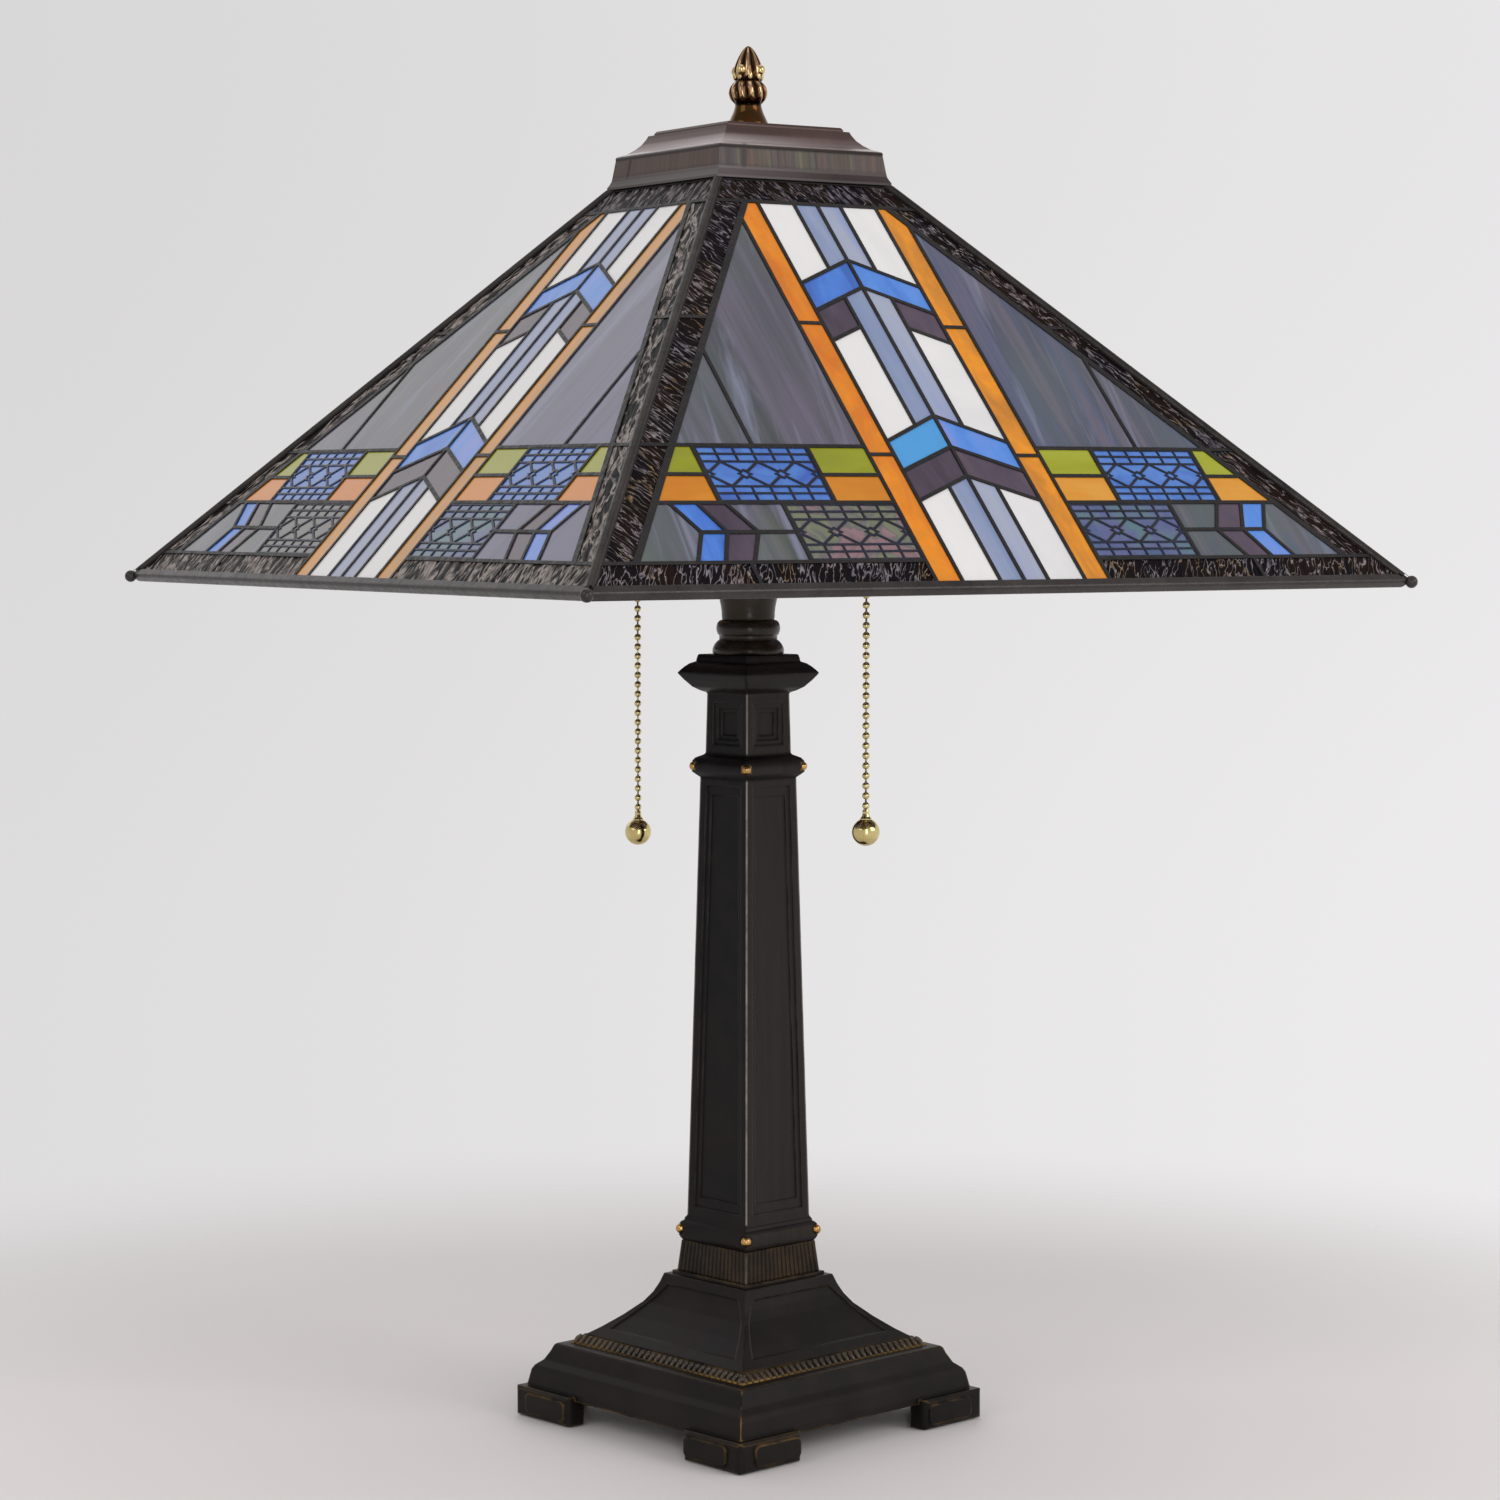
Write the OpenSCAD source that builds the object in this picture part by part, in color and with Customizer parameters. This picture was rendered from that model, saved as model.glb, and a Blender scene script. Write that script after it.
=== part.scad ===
// Stained glass table lamp: square leaded shade on a cast column, two pull-chain sockets.
// Own frame: origin on the lamp axis at the table, +Z up, base square to X and Y, sockets on X.

/* [Shade] */
// Side of the shade across its rim, corner to corner
shade_side = 411.3; // [380:0.1:440]
// Side of the square where the faces meet the cap
cap_side = 90.5; // [70:0.5:120]
// Height of the rim above the table
rim_z = 376.6; // [340:0.1:400]
// Rise of the faces from the rim to the cap
face_rise = 171.5; // [140:0.5:200]
// How far the shade stands turned on its rod, seen from above
shade_turn = -10; // [-45:1:45]
// Thickness of the leaded panels
panel_t = 3.8; // [3:0.1:5]
// Thickness of the glass
glass_t = 2.8; // [2:0.1:3.5]
// Visible width of one lead line
lead_w = 1.7; // [1.5:0.1:4]
// Depth the glass sits in the lead's groove
lead_grip = 0.6; // [0.2:0.1:1]
// Radius of the beads along the hips
hip_r = 1.95; // [1.5:0.05:3]
// How far the hip beads' middle lies inside the corner line
hip_low = 1.7; // [0.6:0.1:2.4]
// Up-slope reach of the rim channel's lips
rim_top = 4.8; // [4.6:0.1:6]
// Radius of the balls at the rim's corners
rim_ball_r = 2.7; // [2:0.1:5]
// How far each ball's middle lies inside the corner, along both sides
rim_ball_in = 0.9; // [0:0.1:2]

/* [Pattern] */
// Half width of the lilac strips at the middle
lilac_u = 12; // [8:0.5:16]
// Outer edge of the white strips
white_u = 30.6; // [25:0.1:36]
// Outer edge of the orange strips
orange_u = 43.2; // [38:0.1:50]
// Up-slope lines of the two side rows: bottom border, mid, row, mid, top
row_v = [16.2, 31.9, 47.3, 62.3, 78];
// Up-slope line of the top border
top_v = 221.3; // [210:0.1:228]
// Width of the hip border's inner line at the rim, from the middle
border_u = 188; // [180:0.5:194]
// Joints of the orange strips, up the slope
orange_v = [73.7, 148.5];
// Joints of the hip border, up the slope
border_v = [78, 150];
// Chevron lines: height at the middle and fall per mm outwards
chevron = [[187.4, 0.5], [171, 0.49], [153, 0.48], [96, 0.49], [78.4, 0.45], [62, 0.45]];
// Side arrow lines: distance out at the row's edges and at its middle
arrow = [[123.5, 114.8], [136.6, 129.1], [149.2, 140.9]];
// Thickness of the pressed metal screens
screen_t = 0.4; // [0.3:0.1:0.5]

/* [Base] */
// Half side of the plinth where it meets the feet
plinth_half = 70.3; // [60:0.1:80]
// Height of the plinth's underside
plinth_z = 11.5; // [8:0.5:14]
// Length of each foot along a side
foot_len = 37; // [25:1:45]
// Height of the top of the plinth's slope
slope_z = 66.4; // [60:0.1:75]
// Top of the fluted band
flute_z = 80.1; // [76:0.1:90]
// Number of flutes on one side
flute_n = 17; // [11:1:23]
// Number of beads along one side of the rope rail
rope_n = 31; // [21:1:45]
// Height of the joint between column and capital
column_z = 288.2; // [270:0.1:300]
// Top of the capital
capital_z = 343; // [330:0.5:350]
// Top of the neck cup
neck_z = 372; // [368:0.5:374]

/* [Fittings] */
// Radius of the lamp pipe and the shade rod
pipe_r = 4.75; // [4:0.05:5.5]
// Radial play of what turns on the rod
turn_play = 0.07; // [0.03:0.01:0.1]
// Distance of each socket from the axis
socket_x = 40; // [36:0.5:46]
// Outer radius of a socket shell
socket_r = 18; // [17:0.1:20]
// Distance of each pull chain from the axis
chain_x = 74; // [70:0.5:80]
// Height of the guide's mouth that a chain hangs from
mouth_z = 412; // [400:0.5:420]
// Height of the middle of the right knob
knob_right_z = 268.5; // [250:0.5:320]
// Height of the middle of the left knob
knob_left_z = 259; // [250:0.5:320]
// Diameter of a chain bead
bead_d = 3.2; // [2.4:0.1:4]
// Spacing of the chain beads
bead_pitch = 4.3; // [3.6:0.1:5]
// Diameter of a knob
knob_d = 12; // [8:0.5:16]
// Overall height, to the finial's tip
top_z = 610; // [600:0.5:620]

/* [Hidden] */
$fn = 64;
eps = 0.01;

rim_half = shade_side / 2;
cap_half = cap_side / 2;
face_run = rim_half - cap_half;
face_len = sqrt(face_run * face_run + face_rise * face_rise);
slope = atan2(face_rise, face_run);
hip_m = face_run / face_len;
hip_k = sqrt(1 + hip_m * hip_m);
cap_z = rim_z + face_rise;
sink = 1;
hip_inset = 0.7;
panel_top = face_len + 5;
rim_low = 0.6;
panel_low = 1.3;
flange_t = (panel_t - glass_t) / 2;
edge_u = rim_half - 2.15 * hip_k;
low_v = 3.7;
rim_front = 0.4;
rim_back = panel_t + sink + 0.6;

// ---- small helpers ----

function len2(a) = sqrt(a[0] * a[0] + a[1] * a[1]);
function meet(p, d, q, e) =
  let (k = d[0] * e[1] - d[1] * e[0], w = q - p) p + d * ((w[0] * e[1] - w[1] * e[0]) / k);
function edge_in(p, q, d) = let (t = q - p, l = len2(t)) p + [-t[1], t[0]] * (d / l);
function turn_way(c) =
  let (n = len(c)) [for (i = [0:n - 1]) let (a = c[i], b = c[(i + 1) % n]) a[0] * b[1] - b[0] * a[1]]
  * [for (i = [0:n - 1]) 1];
function ccw(c) = turn_way(c) > 0 ? c : [for (i = [len(c) - 1:-1:0]) c[i]];
function inset_ccw(c, d) =
  let (n = len(c)) [for (i = [0:n - 1])
    let (a = c[(i + n - 1) % n], b = c[i], e = c[(i + 1) % n])
      meet(edge_in(a, b, d), b - a, edge_in(b, e, d), e - b)];
function inset(c, d) = inset_ccw(ccw(c), d);
function flip(c) = [for (p = c) [-p[0], p[1]]];

// A square moulding: the half side follows the profile's first value.
module square_turn(profile) {
  full = concat(profile, [for (i = [len(profile) - 1:-1:0]) [-profile[i][0], profile[i][1]]]);
  far = 2 * max([for (p = profile) p[0]]) + 2;
  intersection() {
    rotate([90, 0, 0]) linear_extrude(far, center = true) polygon(full);
    rotate([90, 0, 90]) linear_extrude(far, center = true) polygon(full);
  }
}
module ring_turn(profile, bore) {
  rotate_extrude()
    polygon(concat([[bore, profile[0][1]]], profile, [[bore, profile[len(profile) - 1][1]]]));
}
module rod(r, z0, z1) { translate([0, 0, z0]) cylinder(r = r, h = z1 - z0); }
module hex(across, z0, z1) {
  translate([0, 0, z0]) cylinder(r = across / 2 / cos(30), h = z1 - z0, $fn = 6);
}
module four() { for (k = [0:3]) rotate([0, 0, 90 * k]) children(); }
module both_sides() { for (k = [0, 1]) rotate([0, 0, 180 * k]) children(); }

// A square outline with teeth: each tooth gives [part of the pitch, depth].
function toothed(half, edge, n, tooth) = [for (k = [0:3])
  for (p = concat([[-half, 0]], [for (i = [0:n - 1]) for (t = tooth)
    [-half + edge + (i + t[0]) * 2 * (half - edge) / n, t[1]]]))
    let (x = p[0], y = p[1] - half)
      [x * cos(90 * k) - y * sin(90 * k), x * sin(90 * k) + y * cos(90 * k)]];

// ---- base ----

plinth_profile = [[0, plinth_z], [plinth_half, plinth_z], [plinth_half, 14.6], [69, 21], [68, 22.8],
  [65, 25.3], [62.8, 29.4], [61.8, 31.9], [61, 32.7], [57, 33], [51.5, 33], [51.5, 37], [46.6, 40.4],
  [39.6, 46.1], [33.3, 52.1], [30.2, 56.5], [28.1, 61], [26.7, 65], [24.1, 65.2], [24.1, slope_z],
  [0, slope_z]];
plinth_hollow = [[0, -1], [65.4, -1], [65, 15], [62, 21], [58.5, 25], [57, 29.5], [47.5, 29.5],
  [46.5, 34], [42.5, 38.5], [36, 44], [29.5, 50.5], [24, 58], [21, 61], [0, 61]];
foot_half = 74.6;
foot_profile = [[0, 0.6], [73.6, 0.6], [74.5, 1.5], [foot_half, 3], [74.4, 12.6], [73.5, 13.6],
  [plinth_half - 2, 13.6], [0, 13.6]];
slope_band = [[52, 36], [46.6, 40.4], [39.6, 46.1], [33.3, 52.1], [30.2, 56.5], [28.1, 61], [26.7, 66]];
weight_half = 53;
felt_at = 66;
felt_r = 5;

// Four upright blocks with rounded corners: the plan of the feet.
module foot_boxes(r = 3.5) {
  a = foot_half - foot_len;
  four() {
    translate([a, a, -1]) cube([foot_len - r, foot_len - r, 20]);
    translate([a + r, a, -1]) cube([foot_len - 2 * r, foot_len, 20]);
    translate([a, a + r, -1]) cube([foot_len, foot_len - 2 * r, 20]);
    for (c = [[a + r, foot_half - r], [foot_half - r, foot_half - r], [foot_half - r, a + r]])
      translate([c[0], c[1], -1]) cylinder(r = r, h = 20);
  }
}
module slope_panels() {
  four() intersection() {
    rotate([90, 0, 90]) linear_extrude(120, center = true)
      polygon(concat([for (p = slope_band) [-p[0] - 6, p[1]]],
        [for (i = [len(slope_band) - 1:-1:0]) [-slope_band[i][0] + 0.8, slope_band[i][1]]]));
    translate([0, -20, 0]) rotate([90, 0, 0]) linear_extrude(60)
      polygon([[-41, 40.2], [41, 40.2], [23, 60.6], [-23, 60.6]]);
  }
}
module soft_pad(w, h, t, r) {
  translate([-w / 2 + r, -h / 2, 0]) cube([w - 2 * r, h, t]);
  translate([-w / 2, -h / 2 + r, 0]) cube([w, h - 2 * r, t]);
  for (x = [-1, 1]) for (y = [-1, 1])
    translate([x * (w / 2 - r), y * (h / 2 - r), 0]) cylinder(r = r, h = t);
}
module plinth_casting() {
  color("#2a2420") difference() {
    union() {
      square_turn(plinth_profile);
      intersection() { square_turn(foot_profile); foot_boxes(); }
      // raised pads on the feet's outer faces
      four() for (s = [-1, 1])
        translate([s * (foot_half - foot_len / 2 - 3.2), -foot_half + 0.8, 7]) rotate([90, 0, 0])
          soft_pad(foot_len - 10.6, 9, 1.7, 2.6);
    }
    square_turn(plinth_hollow);
    slope_panels();
    rod(pipe_r + 0.25, 50, 70);
    four() translate([felt_at, felt_at, -1]) cylinder(r = felt_r, h = 3);
    translate([0, 60, 16.6]) rotate([-90, 0, 0]) cylinder(r = 3.4, h = 20);
  }
}
module felt_pads() {
  color("#1f2a24") four() translate([felt_at, felt_at, 0]) cylinder(r = felt_r, h = 2);
}
module base_weight() {
  color("#4a4744") difference() {
    translate([-weight_half, -weight_half, 20.5]) cube([2 * weight_half, 2 * weight_half, 9]);
    rod(pipe_r + 0.25, 20, 30);
  }
}
module base_washer() {
  color("#b0a890") difference() { rod(14, 18.5, 20.5); rod(pipe_r + 0.15, 18, 21); }
}
module base_locknut() {
  color("#c0a860") difference() { hex(17, 12.5, 18.5); rod(pipe_r, 12, 19); }
}
module cord_bushing() {
  color("#181818") difference() {
    union() {
      translate([0, 62.5, 16.6]) rotate([-90, 0, 0]) cylinder(r = 3.4, h = 9);
      translate([0, 70.3, 16.6]) rotate([-90, 0, 0]) cylinder(r = 4.6, h = 1.4);
    }
    translate([0, 60, 16.6]) rotate([-90, 0, 0]) cylinder(r = 2.4, h = 14);
  }
}
module rope_rail() {
  color("#3a2f22") difference() {
    intersection() {
      translate([0, 0, 33]) linear_extrude(4)
        polygon(toothed(57.6, 0.6, rope_n, [[0.05, 0.9], [0.35, 0], [0.7, 0]]));
      square_turn([[0, 33], [56.9, 33], [57.6, 33.8], [57.6, 34.8], [56.2, 36.2], [53.6, 37], [0, 37]]);
    }
    translate([-51.5, -51.5, 32]) cube([103, 103, 6]);
  }
}
module fluted_band() {
  color("#2c2520") difference() {
    translate([0, 0, slope_z]) linear_extrude(flute_z - slope_z, scale = 21.1 / 22.5)
      polygon(toothed(22.5, 0.9, flute_n, [[0.2, 0], [0.35, 0.7], [0.65, 0.7], [0.8, 0]]));
    rod(pipe_r + 0.25, 60, 90);
  }
}

// ---- column and capital ----

shaft_foot = [19.3, 91.6];
shaft_head = 15.1;
shaft_tilt = atan2(shaft_foot[0] - shaft_head, column_z - shaft_foot[1]);

// Cuts of a stepped panel in one face, drawn on the leaning face itself.
module shaft_panel(margin, low, high, depth) {
  h = column_z - shaft_foot[1];
  w = function (v) shaft_foot[0] - (shaft_foot[0] - shaft_head) * v / h - margin;
  translate([0, -shaft_foot[0], shaft_foot[1]]) rotate([90 - shaft_tilt, 0, 0])
    translate([0, 0, -depth]) linear_extrude(depth + 2)
      polygon([[-w(low), low], [w(low), low], [w(high), high], [-w(high), high]]);
}
column_profile = [[0, flute_z], [20.6, flute_z], [21.2, 80.8], [21.9, 82.2], [22.3, 84], [22.3, 86],
  [21.9, 87.6], [21.2, 88.6], [20.3, 89.2], [20.1, 90.3], [19.5, 91.1], shaft_foot,
  [shaft_head, column_z], [0, column_z]];
capital_profile = [[0, column_z], [shaft_head, column_z], [16.3, 289.3], [17.6, 290.6], [18.3, 292],
  [18.5, 293.1], [18.2, 294.4], [17.5, 295.8], [16.6, 297], [13.9, 298.4], [13.4, 299.1], [12.9, 325.3],
  [13.2, 326], [15.2, 326.9], [17.6, 328.5], [20.2, 331.6], [22, 334.2], [22.2, 334.8], [21.3, 336],
  [20, 337.5], [18.4, 338.9], [16.4, 339.8], [16.1, 341.5], [15.8, 342.6], [15.4, capital_z],
  [0, capital_z]];
// Corner studs: half width of each row's corners, height and radius of the round heads.
stud_at = [[17.15, 293.2, 2], [21.4, 85.2, 2.3]];
shank_r = 1.2;
shank_len = 3.4;
stud_play = 0.05;

module at_corners(which) {
  four() translate([which[0], which[0], which[1]]) rotate([0, 90, 45]) children();
}
module studs(which) {
  at_corners(which) {
    sphere(r = which[2]);
    translate([0, 0, -shank_len]) cylinder(r = shank_r, h = shank_len);
  }
}
module stud_pockets(which) {
  at_corners(which) {
    translate([0, 0, -which[2] - stud_play]) cylinder(r = which[2] + stud_play, h = 7);
    translate([0, 0, -shank_len - 0.1]) cylinder(r = shank_r + stud_play, h = shank_len);
  }
}
module column_casting() {
  color("#262120") difference() {
    square_turn(column_profile);
    square_turn([[0, flute_z - 1], [14.8, flute_z - 1], [10.4, column_z - 6], [0, column_z - 6]]);
    rod(pipe_r + 0.25, 70, 300);
    four() {
      shaft_panel(4, 4.2, 193.4, 0.9);
      shaft_panel(6.4, 8.6, 189, 1.7);
    }
    stud_pockets(stud_at[1]);
  }
}
module capital_casting() {
  color("#262120") difference() {
    square_turn(capital_profile);
    rod(pipe_r + 0.25, 280, 350);
    four() {
      translate([-9, -14, 303]) cube([18, 1.6, 18.6]);
      translate([-6.8, -14, 305.2]) cube([13.6, 2.5, 14.2]);
      translate([-4.9, -14, 307.1]) cube([9.8, 3.3, 10.4]);
    }
    stud_pockets(stud_at[0]);
  }
}
module corner_studs() {
  color("#b08a48") for (s = stud_at) studs(s);
}
module neck_ring() {
  color("#2a2420") ring_turn([[15, capital_z], [15.7, 343.4], [15.95, 344.4], [15.8, 345.6], [15.1, 347.2],
    [14, 348.6], [12.9, 349.4], [12.9, 350]], pipe_r + 0.25);
}
module bead_ring() {
  color("#3a3028") ring_turn([[12.9, 350], [12.9, 351.2], [13.6, 352], [14.05, 353.2], [14.2, 354.5],
    [14.05, 355.8], [13.6, 357], [12.7, 357.9], [11.6, 358.2]], pipe_r + 0.25);
}
module neck_cup() {
  color("#6a5c48") ring_turn([[11.5, 358.2], [11.75, 359.4], [11.8, 361.5], [12.1, 364], [12.6, 366.5],
    [13.1, 369.5], [13.2, neck_z]], pipe_r + 0.25);
}
module lamp_pipe() {
  color("#a89868") difference() { rod(pipe_r, 11, 381); rod(3.4, 10, 382); }
}

// ---- socket cluster ----

arm_z = 382;
socket_z = 388;

module cluster_body() {
  color("#8a7440") difference() {
    ring_turn([[10.4, neck_z], [11, neck_z + 1], [11, 389], [10, 391.2], [8, 392]], 0);
    rod(pipe_r, 371, 381);
    rod(pipe_r, 383, 400);
  }
}
module cluster_arms() {
  color("#8a7440") both_sides() union() {
    difference() {
      translate([9, 0, arm_z]) rotate([0, 90, 0]) cylinder(r = 4.2, h = socket_x - 9);
      rod(11, 370, 395);
    }
    translate([socket_x, 0, 0]) rod(6.5, 375.5, socket_z);
  }
}
module socket_caps() {
  color("#b08d45") both_sides() translate([socket_x, 0, 0]) rotate_extrude()
    polygon([[0, socket_z], [9, socket_z], [14.5, 391], [17.6, 395], [18.6, 399], [18.6, 404],
      [socket_r, 404], [socket_r, 399], [0, 399]]);
}
module socket_shells() {
  color("#b08d45") both_sides() translate([socket_x, 0, 0])
    ring_turn([[socket_r, 399], [socket_r, 450.6], [18.5, 451.2], [18.5, 452]], socket_r - 0.7);
}
module socket_liners() {
  color("#3b2a1e") both_sides() translate([socket_x, 0, 0]) rotate_extrude()
    polygon([[0, 399], [socket_r - 0.7, 399], [socket_r - 0.7, 450], [14.4, 450], [14.4, 412], [0, 412]]);
}
module socket_screws() {
  color("#c9a04a") both_sides() translate([socket_x, 0, 0]) ring_turn([[14.4, 412], [14.4, 446]], 13.7);
}
module bulb_bases() {
  color("#c8c4b8") both_sides() translate([socket_x, 0, 0]) rotate_extrude()
    polygon([[0, 412], [4.5, 412], [8.5, 415], [13.6, 417], [13.6, 442], [0, 442]]);
}
bulb_out = [[13.2, 442], [14.6, 452], [18.6, 466], [23.6, 479], [26.7, 487.5], [27.5, 494.5],
  for (a = [12:12:84]) [27.5 * cos(a), 494.5 + 27.5 * sin(a)]];
module bulb_glass() {
  color("#f2eee2") both_sides() translate([socket_x, 0, 0]) rotate_extrude()
    polygon(concat(bulb_out, [[0, 522], [0, 520.8]],
      [for (i = [len(bulb_out) - 1:-1:1]) [bulb_out[i][0] - 1.1 * min(1, bulb_out[i][0] / 12),
        bulb_out[i][1] - (i > 5 ? 0.9 : 0)]], [[11.9, 442]]));
}

// Guide: a tube out of the socket's side that bends down to a flared mouth.
bend_r = 4.6;
guide_z = mouth_z + 11.4 + bend_r;
module chain_guides() {
  color("#b08d45") both_sides() difference() {
    union() {
      translate([socket_x, 0, guide_z]) rotate([0, 90, 0])
        cylinder(r = 3.1, h = chain_x - bend_r - socket_x);
      translate([chain_x - bend_r, 0, guide_z - bend_r]) rotate([90, 0, 0])
        rotate_extrude(angle = 90) translate([bend_r, 0]) circle(r = 3.1);
      translate([chain_x, 0, 0]) rod(3.1, mouth_z, guide_z - bend_r);
      translate([chain_x, 0, mouth_z]) cylinder(r1 = 4.7, r2 = 3.1, h = 2.6);
    }
    translate([socket_x, 0, 0]) rod(socket_r, 395, 460);
    translate([chain_x, 0, 0]) rod(2, mouth_z - 1, guide_z - bend_r + 1);
  }
}

// ---- pull chains ----

link_r = 0.45;
bead_r = bead_d / 2;
pivot_z = mouth_z + bead_r;
bell_h = 4.4;
seat_h = 5.4;
// One bead's outline, from its lower neck to its upper neck.
function bead_line(z) = let (a = asin(link_r / bead_r))
  [for (i = [0:8]) let (t = -90 + a + i * (180 - 2 * a) / 8) [bead_r * cos(t), z + bead_r * sin(t)]];
function bead_count(knob_z) = round((pivot_z - knob_z - seat_h - bell_h - bead_r) / bead_pitch);
function bead_step(knob_z) = (pivot_z - knob_z - seat_h - bell_h - bead_r) / bead_count(knob_z);

module stub(side) {
  color("#c8a050") translate([side * chain_x, 0, 0]) union() {
    rotate_extrude()
      polygon(concat([[0, pivot_z], [link_r, pivot_z]], bead_line(pivot_z + bead_pitch),
        bead_line(pivot_z + 2 * bead_pitch), [[0, pivot_z + 2 * bead_pitch + bead_r]]));
    // cross barrel that the chain swings on
    translate([0, 0, pivot_z]) rotate([90, 0, 0]) cylinder(r = bead_r, h = 2.6, center = true);
  }
}
module chain(side, knob_z) {
  n = bead_count(knob_z);
  step = bead_step(knob_z);
  color("#c8a050") translate([side * chain_x, 0, 0]) rotate_extrude()
    polygon(concat([[0, knob_z + seat_h + bell_h], [link_r, knob_z + seat_h + bell_h]],
      [for (i = [n:-1:1]) for (p = bead_line(pivot_z - i * step)) p],
      [[link_r, pivot_z - bead_r - 0.03], [0, pivot_z - bead_r - 0.03]]));
}
module bell(side, knob_z) {
  z = knob_z + seat_h;
  color("#c09040") translate([side * chain_x, 0, 0]) rotate_extrude()
    polygon([[0, z], [2.4, z], [2.45, z + 0.5], [1.8, z + 1.3], [1.35, z + 2.6], [1.5, z + 3.5],
      [1.2, z + bell_h], [0, z + bell_h]]);
}
module knob(side, knob_z) {
  color("#d0a850") translate([side * chain_x, 0, knob_z]) intersection() {
    sphere(d = knob_d);
    translate([-10, -10, -10]) cube([20, 20, 10 + seat_h]);
  }
}
module stub_right() { stub(1); }
module stub_left() { stub(-1); }
module chain_right() { chain(1, knob_right_z); }
module chain_left() { chain(-1, knob_left_z); }
module bell_right() { bell(1, knob_right_z); }
module bell_left() { bell(-1, knob_left_z); }
module knob_right() { knob(1, knob_right_z); }
module knob_left() { knob(-1, knob_left_z); }

// ---- rod, cap and finial ----

cap_top = cap_z + 23.5;
plate_top = cap_top + 1.9;
disc_z = cap_top - 1.4;
lip_in = cap_half - sink / sin(slope);
// flared lip, band, bead at its top and a hollow-curved roof
cap_profile = [[0, 0], [cap_half, 0], [cap_half - 0.05, 1], [44.5, 2.2], [43.8, 3.7], [43.5, 5.4],
  [42.4, 12.9], [42.5, 13.7], [42.1, 14.4], [41.2, 14.8], [38.6, 15.8], [36.2, 17.5], [34.1, 19.6],
  [32.6, 22], [31.9, cap_top - cap_z], [0, cap_top - cap_z]];
cap_inside = [[42.2, 5], [40.9, 12.6], [40.4, 13.2], [37.6, 14.3], [35, 16.2], [32.8, 18.6], [31, 21.3]];
finial_profile = [[9.5, 0], [9.7, 1], [9, 3.7], [7.6, 6.5], [6.3, 9], [5.9, 10.8], [7.1, 12.8], [8.3, 14.7],
  [8.6, 16.1], [8.2, 18], [6.8, 19.9], [5.6, 21], [5.3, 21.7], [5.9, 23], [6.7, 24.6], [6.7, 26.1],
  [5.9, 27.2], [5.05, 27.8], [4.6, 29.6], [3.2, 32.5], [1.4, 35.6], [0, top_z - plate_top - 0.05]];

module riser_rod() { color("#a89868") rod(pipe_r, 383, plate_top + 6); }
module riser_nut() {
  color("#c0a860") difference() { hex(17, disc_z - 8.5, disc_z - 2.5); rod(pipe_r, disc_z - 9, disc_z); }
}
module rest_disc() {
  color("#a89868") difference() { rod(20, disc_z - 2.5, disc_z); rod(pipe_r, disc_z - 3, disc_z + 1); }
}
module shade_cap() {
  color("#5c5048") rotate([0, 0, shade_turn]) difference() {
    square_turn([for (p = cap_profile) [p[0], cap_z + p[1]]]);
    square_turn(concat([[0, cap_z - 1], [lip_in + 1 / tan(slope), cap_z - 1], [lip_in, cap_z],
      [lip_in - 0.8, cap_z + 0.8 * tan(slope)]], [for (p = cap_inside) [p[0], cap_z + p[1]]],
      [[30.2, disc_z], [0, disc_z]]));
    rod(pipe_r + turn_play, 500, 600);
  }
}
module cap_plate() {
  color("#7a6c58") rotate([0, 0, shade_turn]) difference() {
    square_turn([[0, cap_top], [30, cap_top], [30, cap_top + 0.9], [29.2, plate_top], [0, plate_top]]);
    rod(pipe_r + turn_play, 500, 600);
  }
}
module finial_insert() {
  color("#c0a860") difference() {
    rod(5.4, plate_top, plate_top + 8); rod(pipe_r + turn_play, plate_top - 1, plate_top + 9);
  }
}
module finial() {
  color("#a88a50") translate([0, 0, plate_top + 0.05]) difference() {
    rotate_extrude() polygon(concat([[0, 0]], finial_profile));
    translate([0, 0, -1]) cylinder(r = 5.4, h = 8.95);
  }
}

// ---- leaded panels: cells drawn on the face, u outwards from its middle, v up the slope ----

function at(line, u) = chevron[line][0] - chevron[line][1] * u;
function band(u0, u1, a, b) = [[u0, at(b, u0)], [u1, at(b, u1)], [u1, at(a, u1)], [u0, at(a, u0)]];
function box(u0, u1, v0, v1) = [[u0, v0], [u1, v0], [u1, v1], [u0, v1]];
// the lead beside the hip border is wider than the others: it lies between these two lines
function hip(v) = cell_u - hip_m * v;
function hip_out(v) = border_u + 0.5 - hip_m * v;
function outer(v) = edge_u - hip_m * v;
function strip(v0, v1) = [[hip_out(v0), v0], [outer(v0), v0], [outer(v1), v1], [hip_out(v1), v1]];
function to_hip(u0, v0, v1) = [[u0, v0], [hip(v0), v0], [hip(v1), v1], [u0, v1]];
function column_cells(u0, u1) = [
  [[u0, at(0, u0)], [u1, at(0, u1)], [u1, top_v], [u0, top_v]],
  [[u0, low_v], [u1, low_v], [u1, at(5, u1)], [u0, at(5, u0)]]];
function arrows(a, b) = [
  [[arrow[a][1], row_v[1]], [arrow[b][1], row_v[1]], [arrow[b][0], row_v[2]], [arrow[a][0], row_v[2]]],
  [[arrow[a][0], row_v[0]], [arrow[b][0], row_v[0]], [arrow[b][1], row_v[1]], [arrow[a][1], row_v[1]]]];
cell_u = border_u - 1;
screen_u = [71.4, 125.7];
teal_u = 97;
border_mid = 125.5;
// where the hip border meets the orange strips
meet_v = (cell_u - orange_u) / hip_m;

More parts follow.
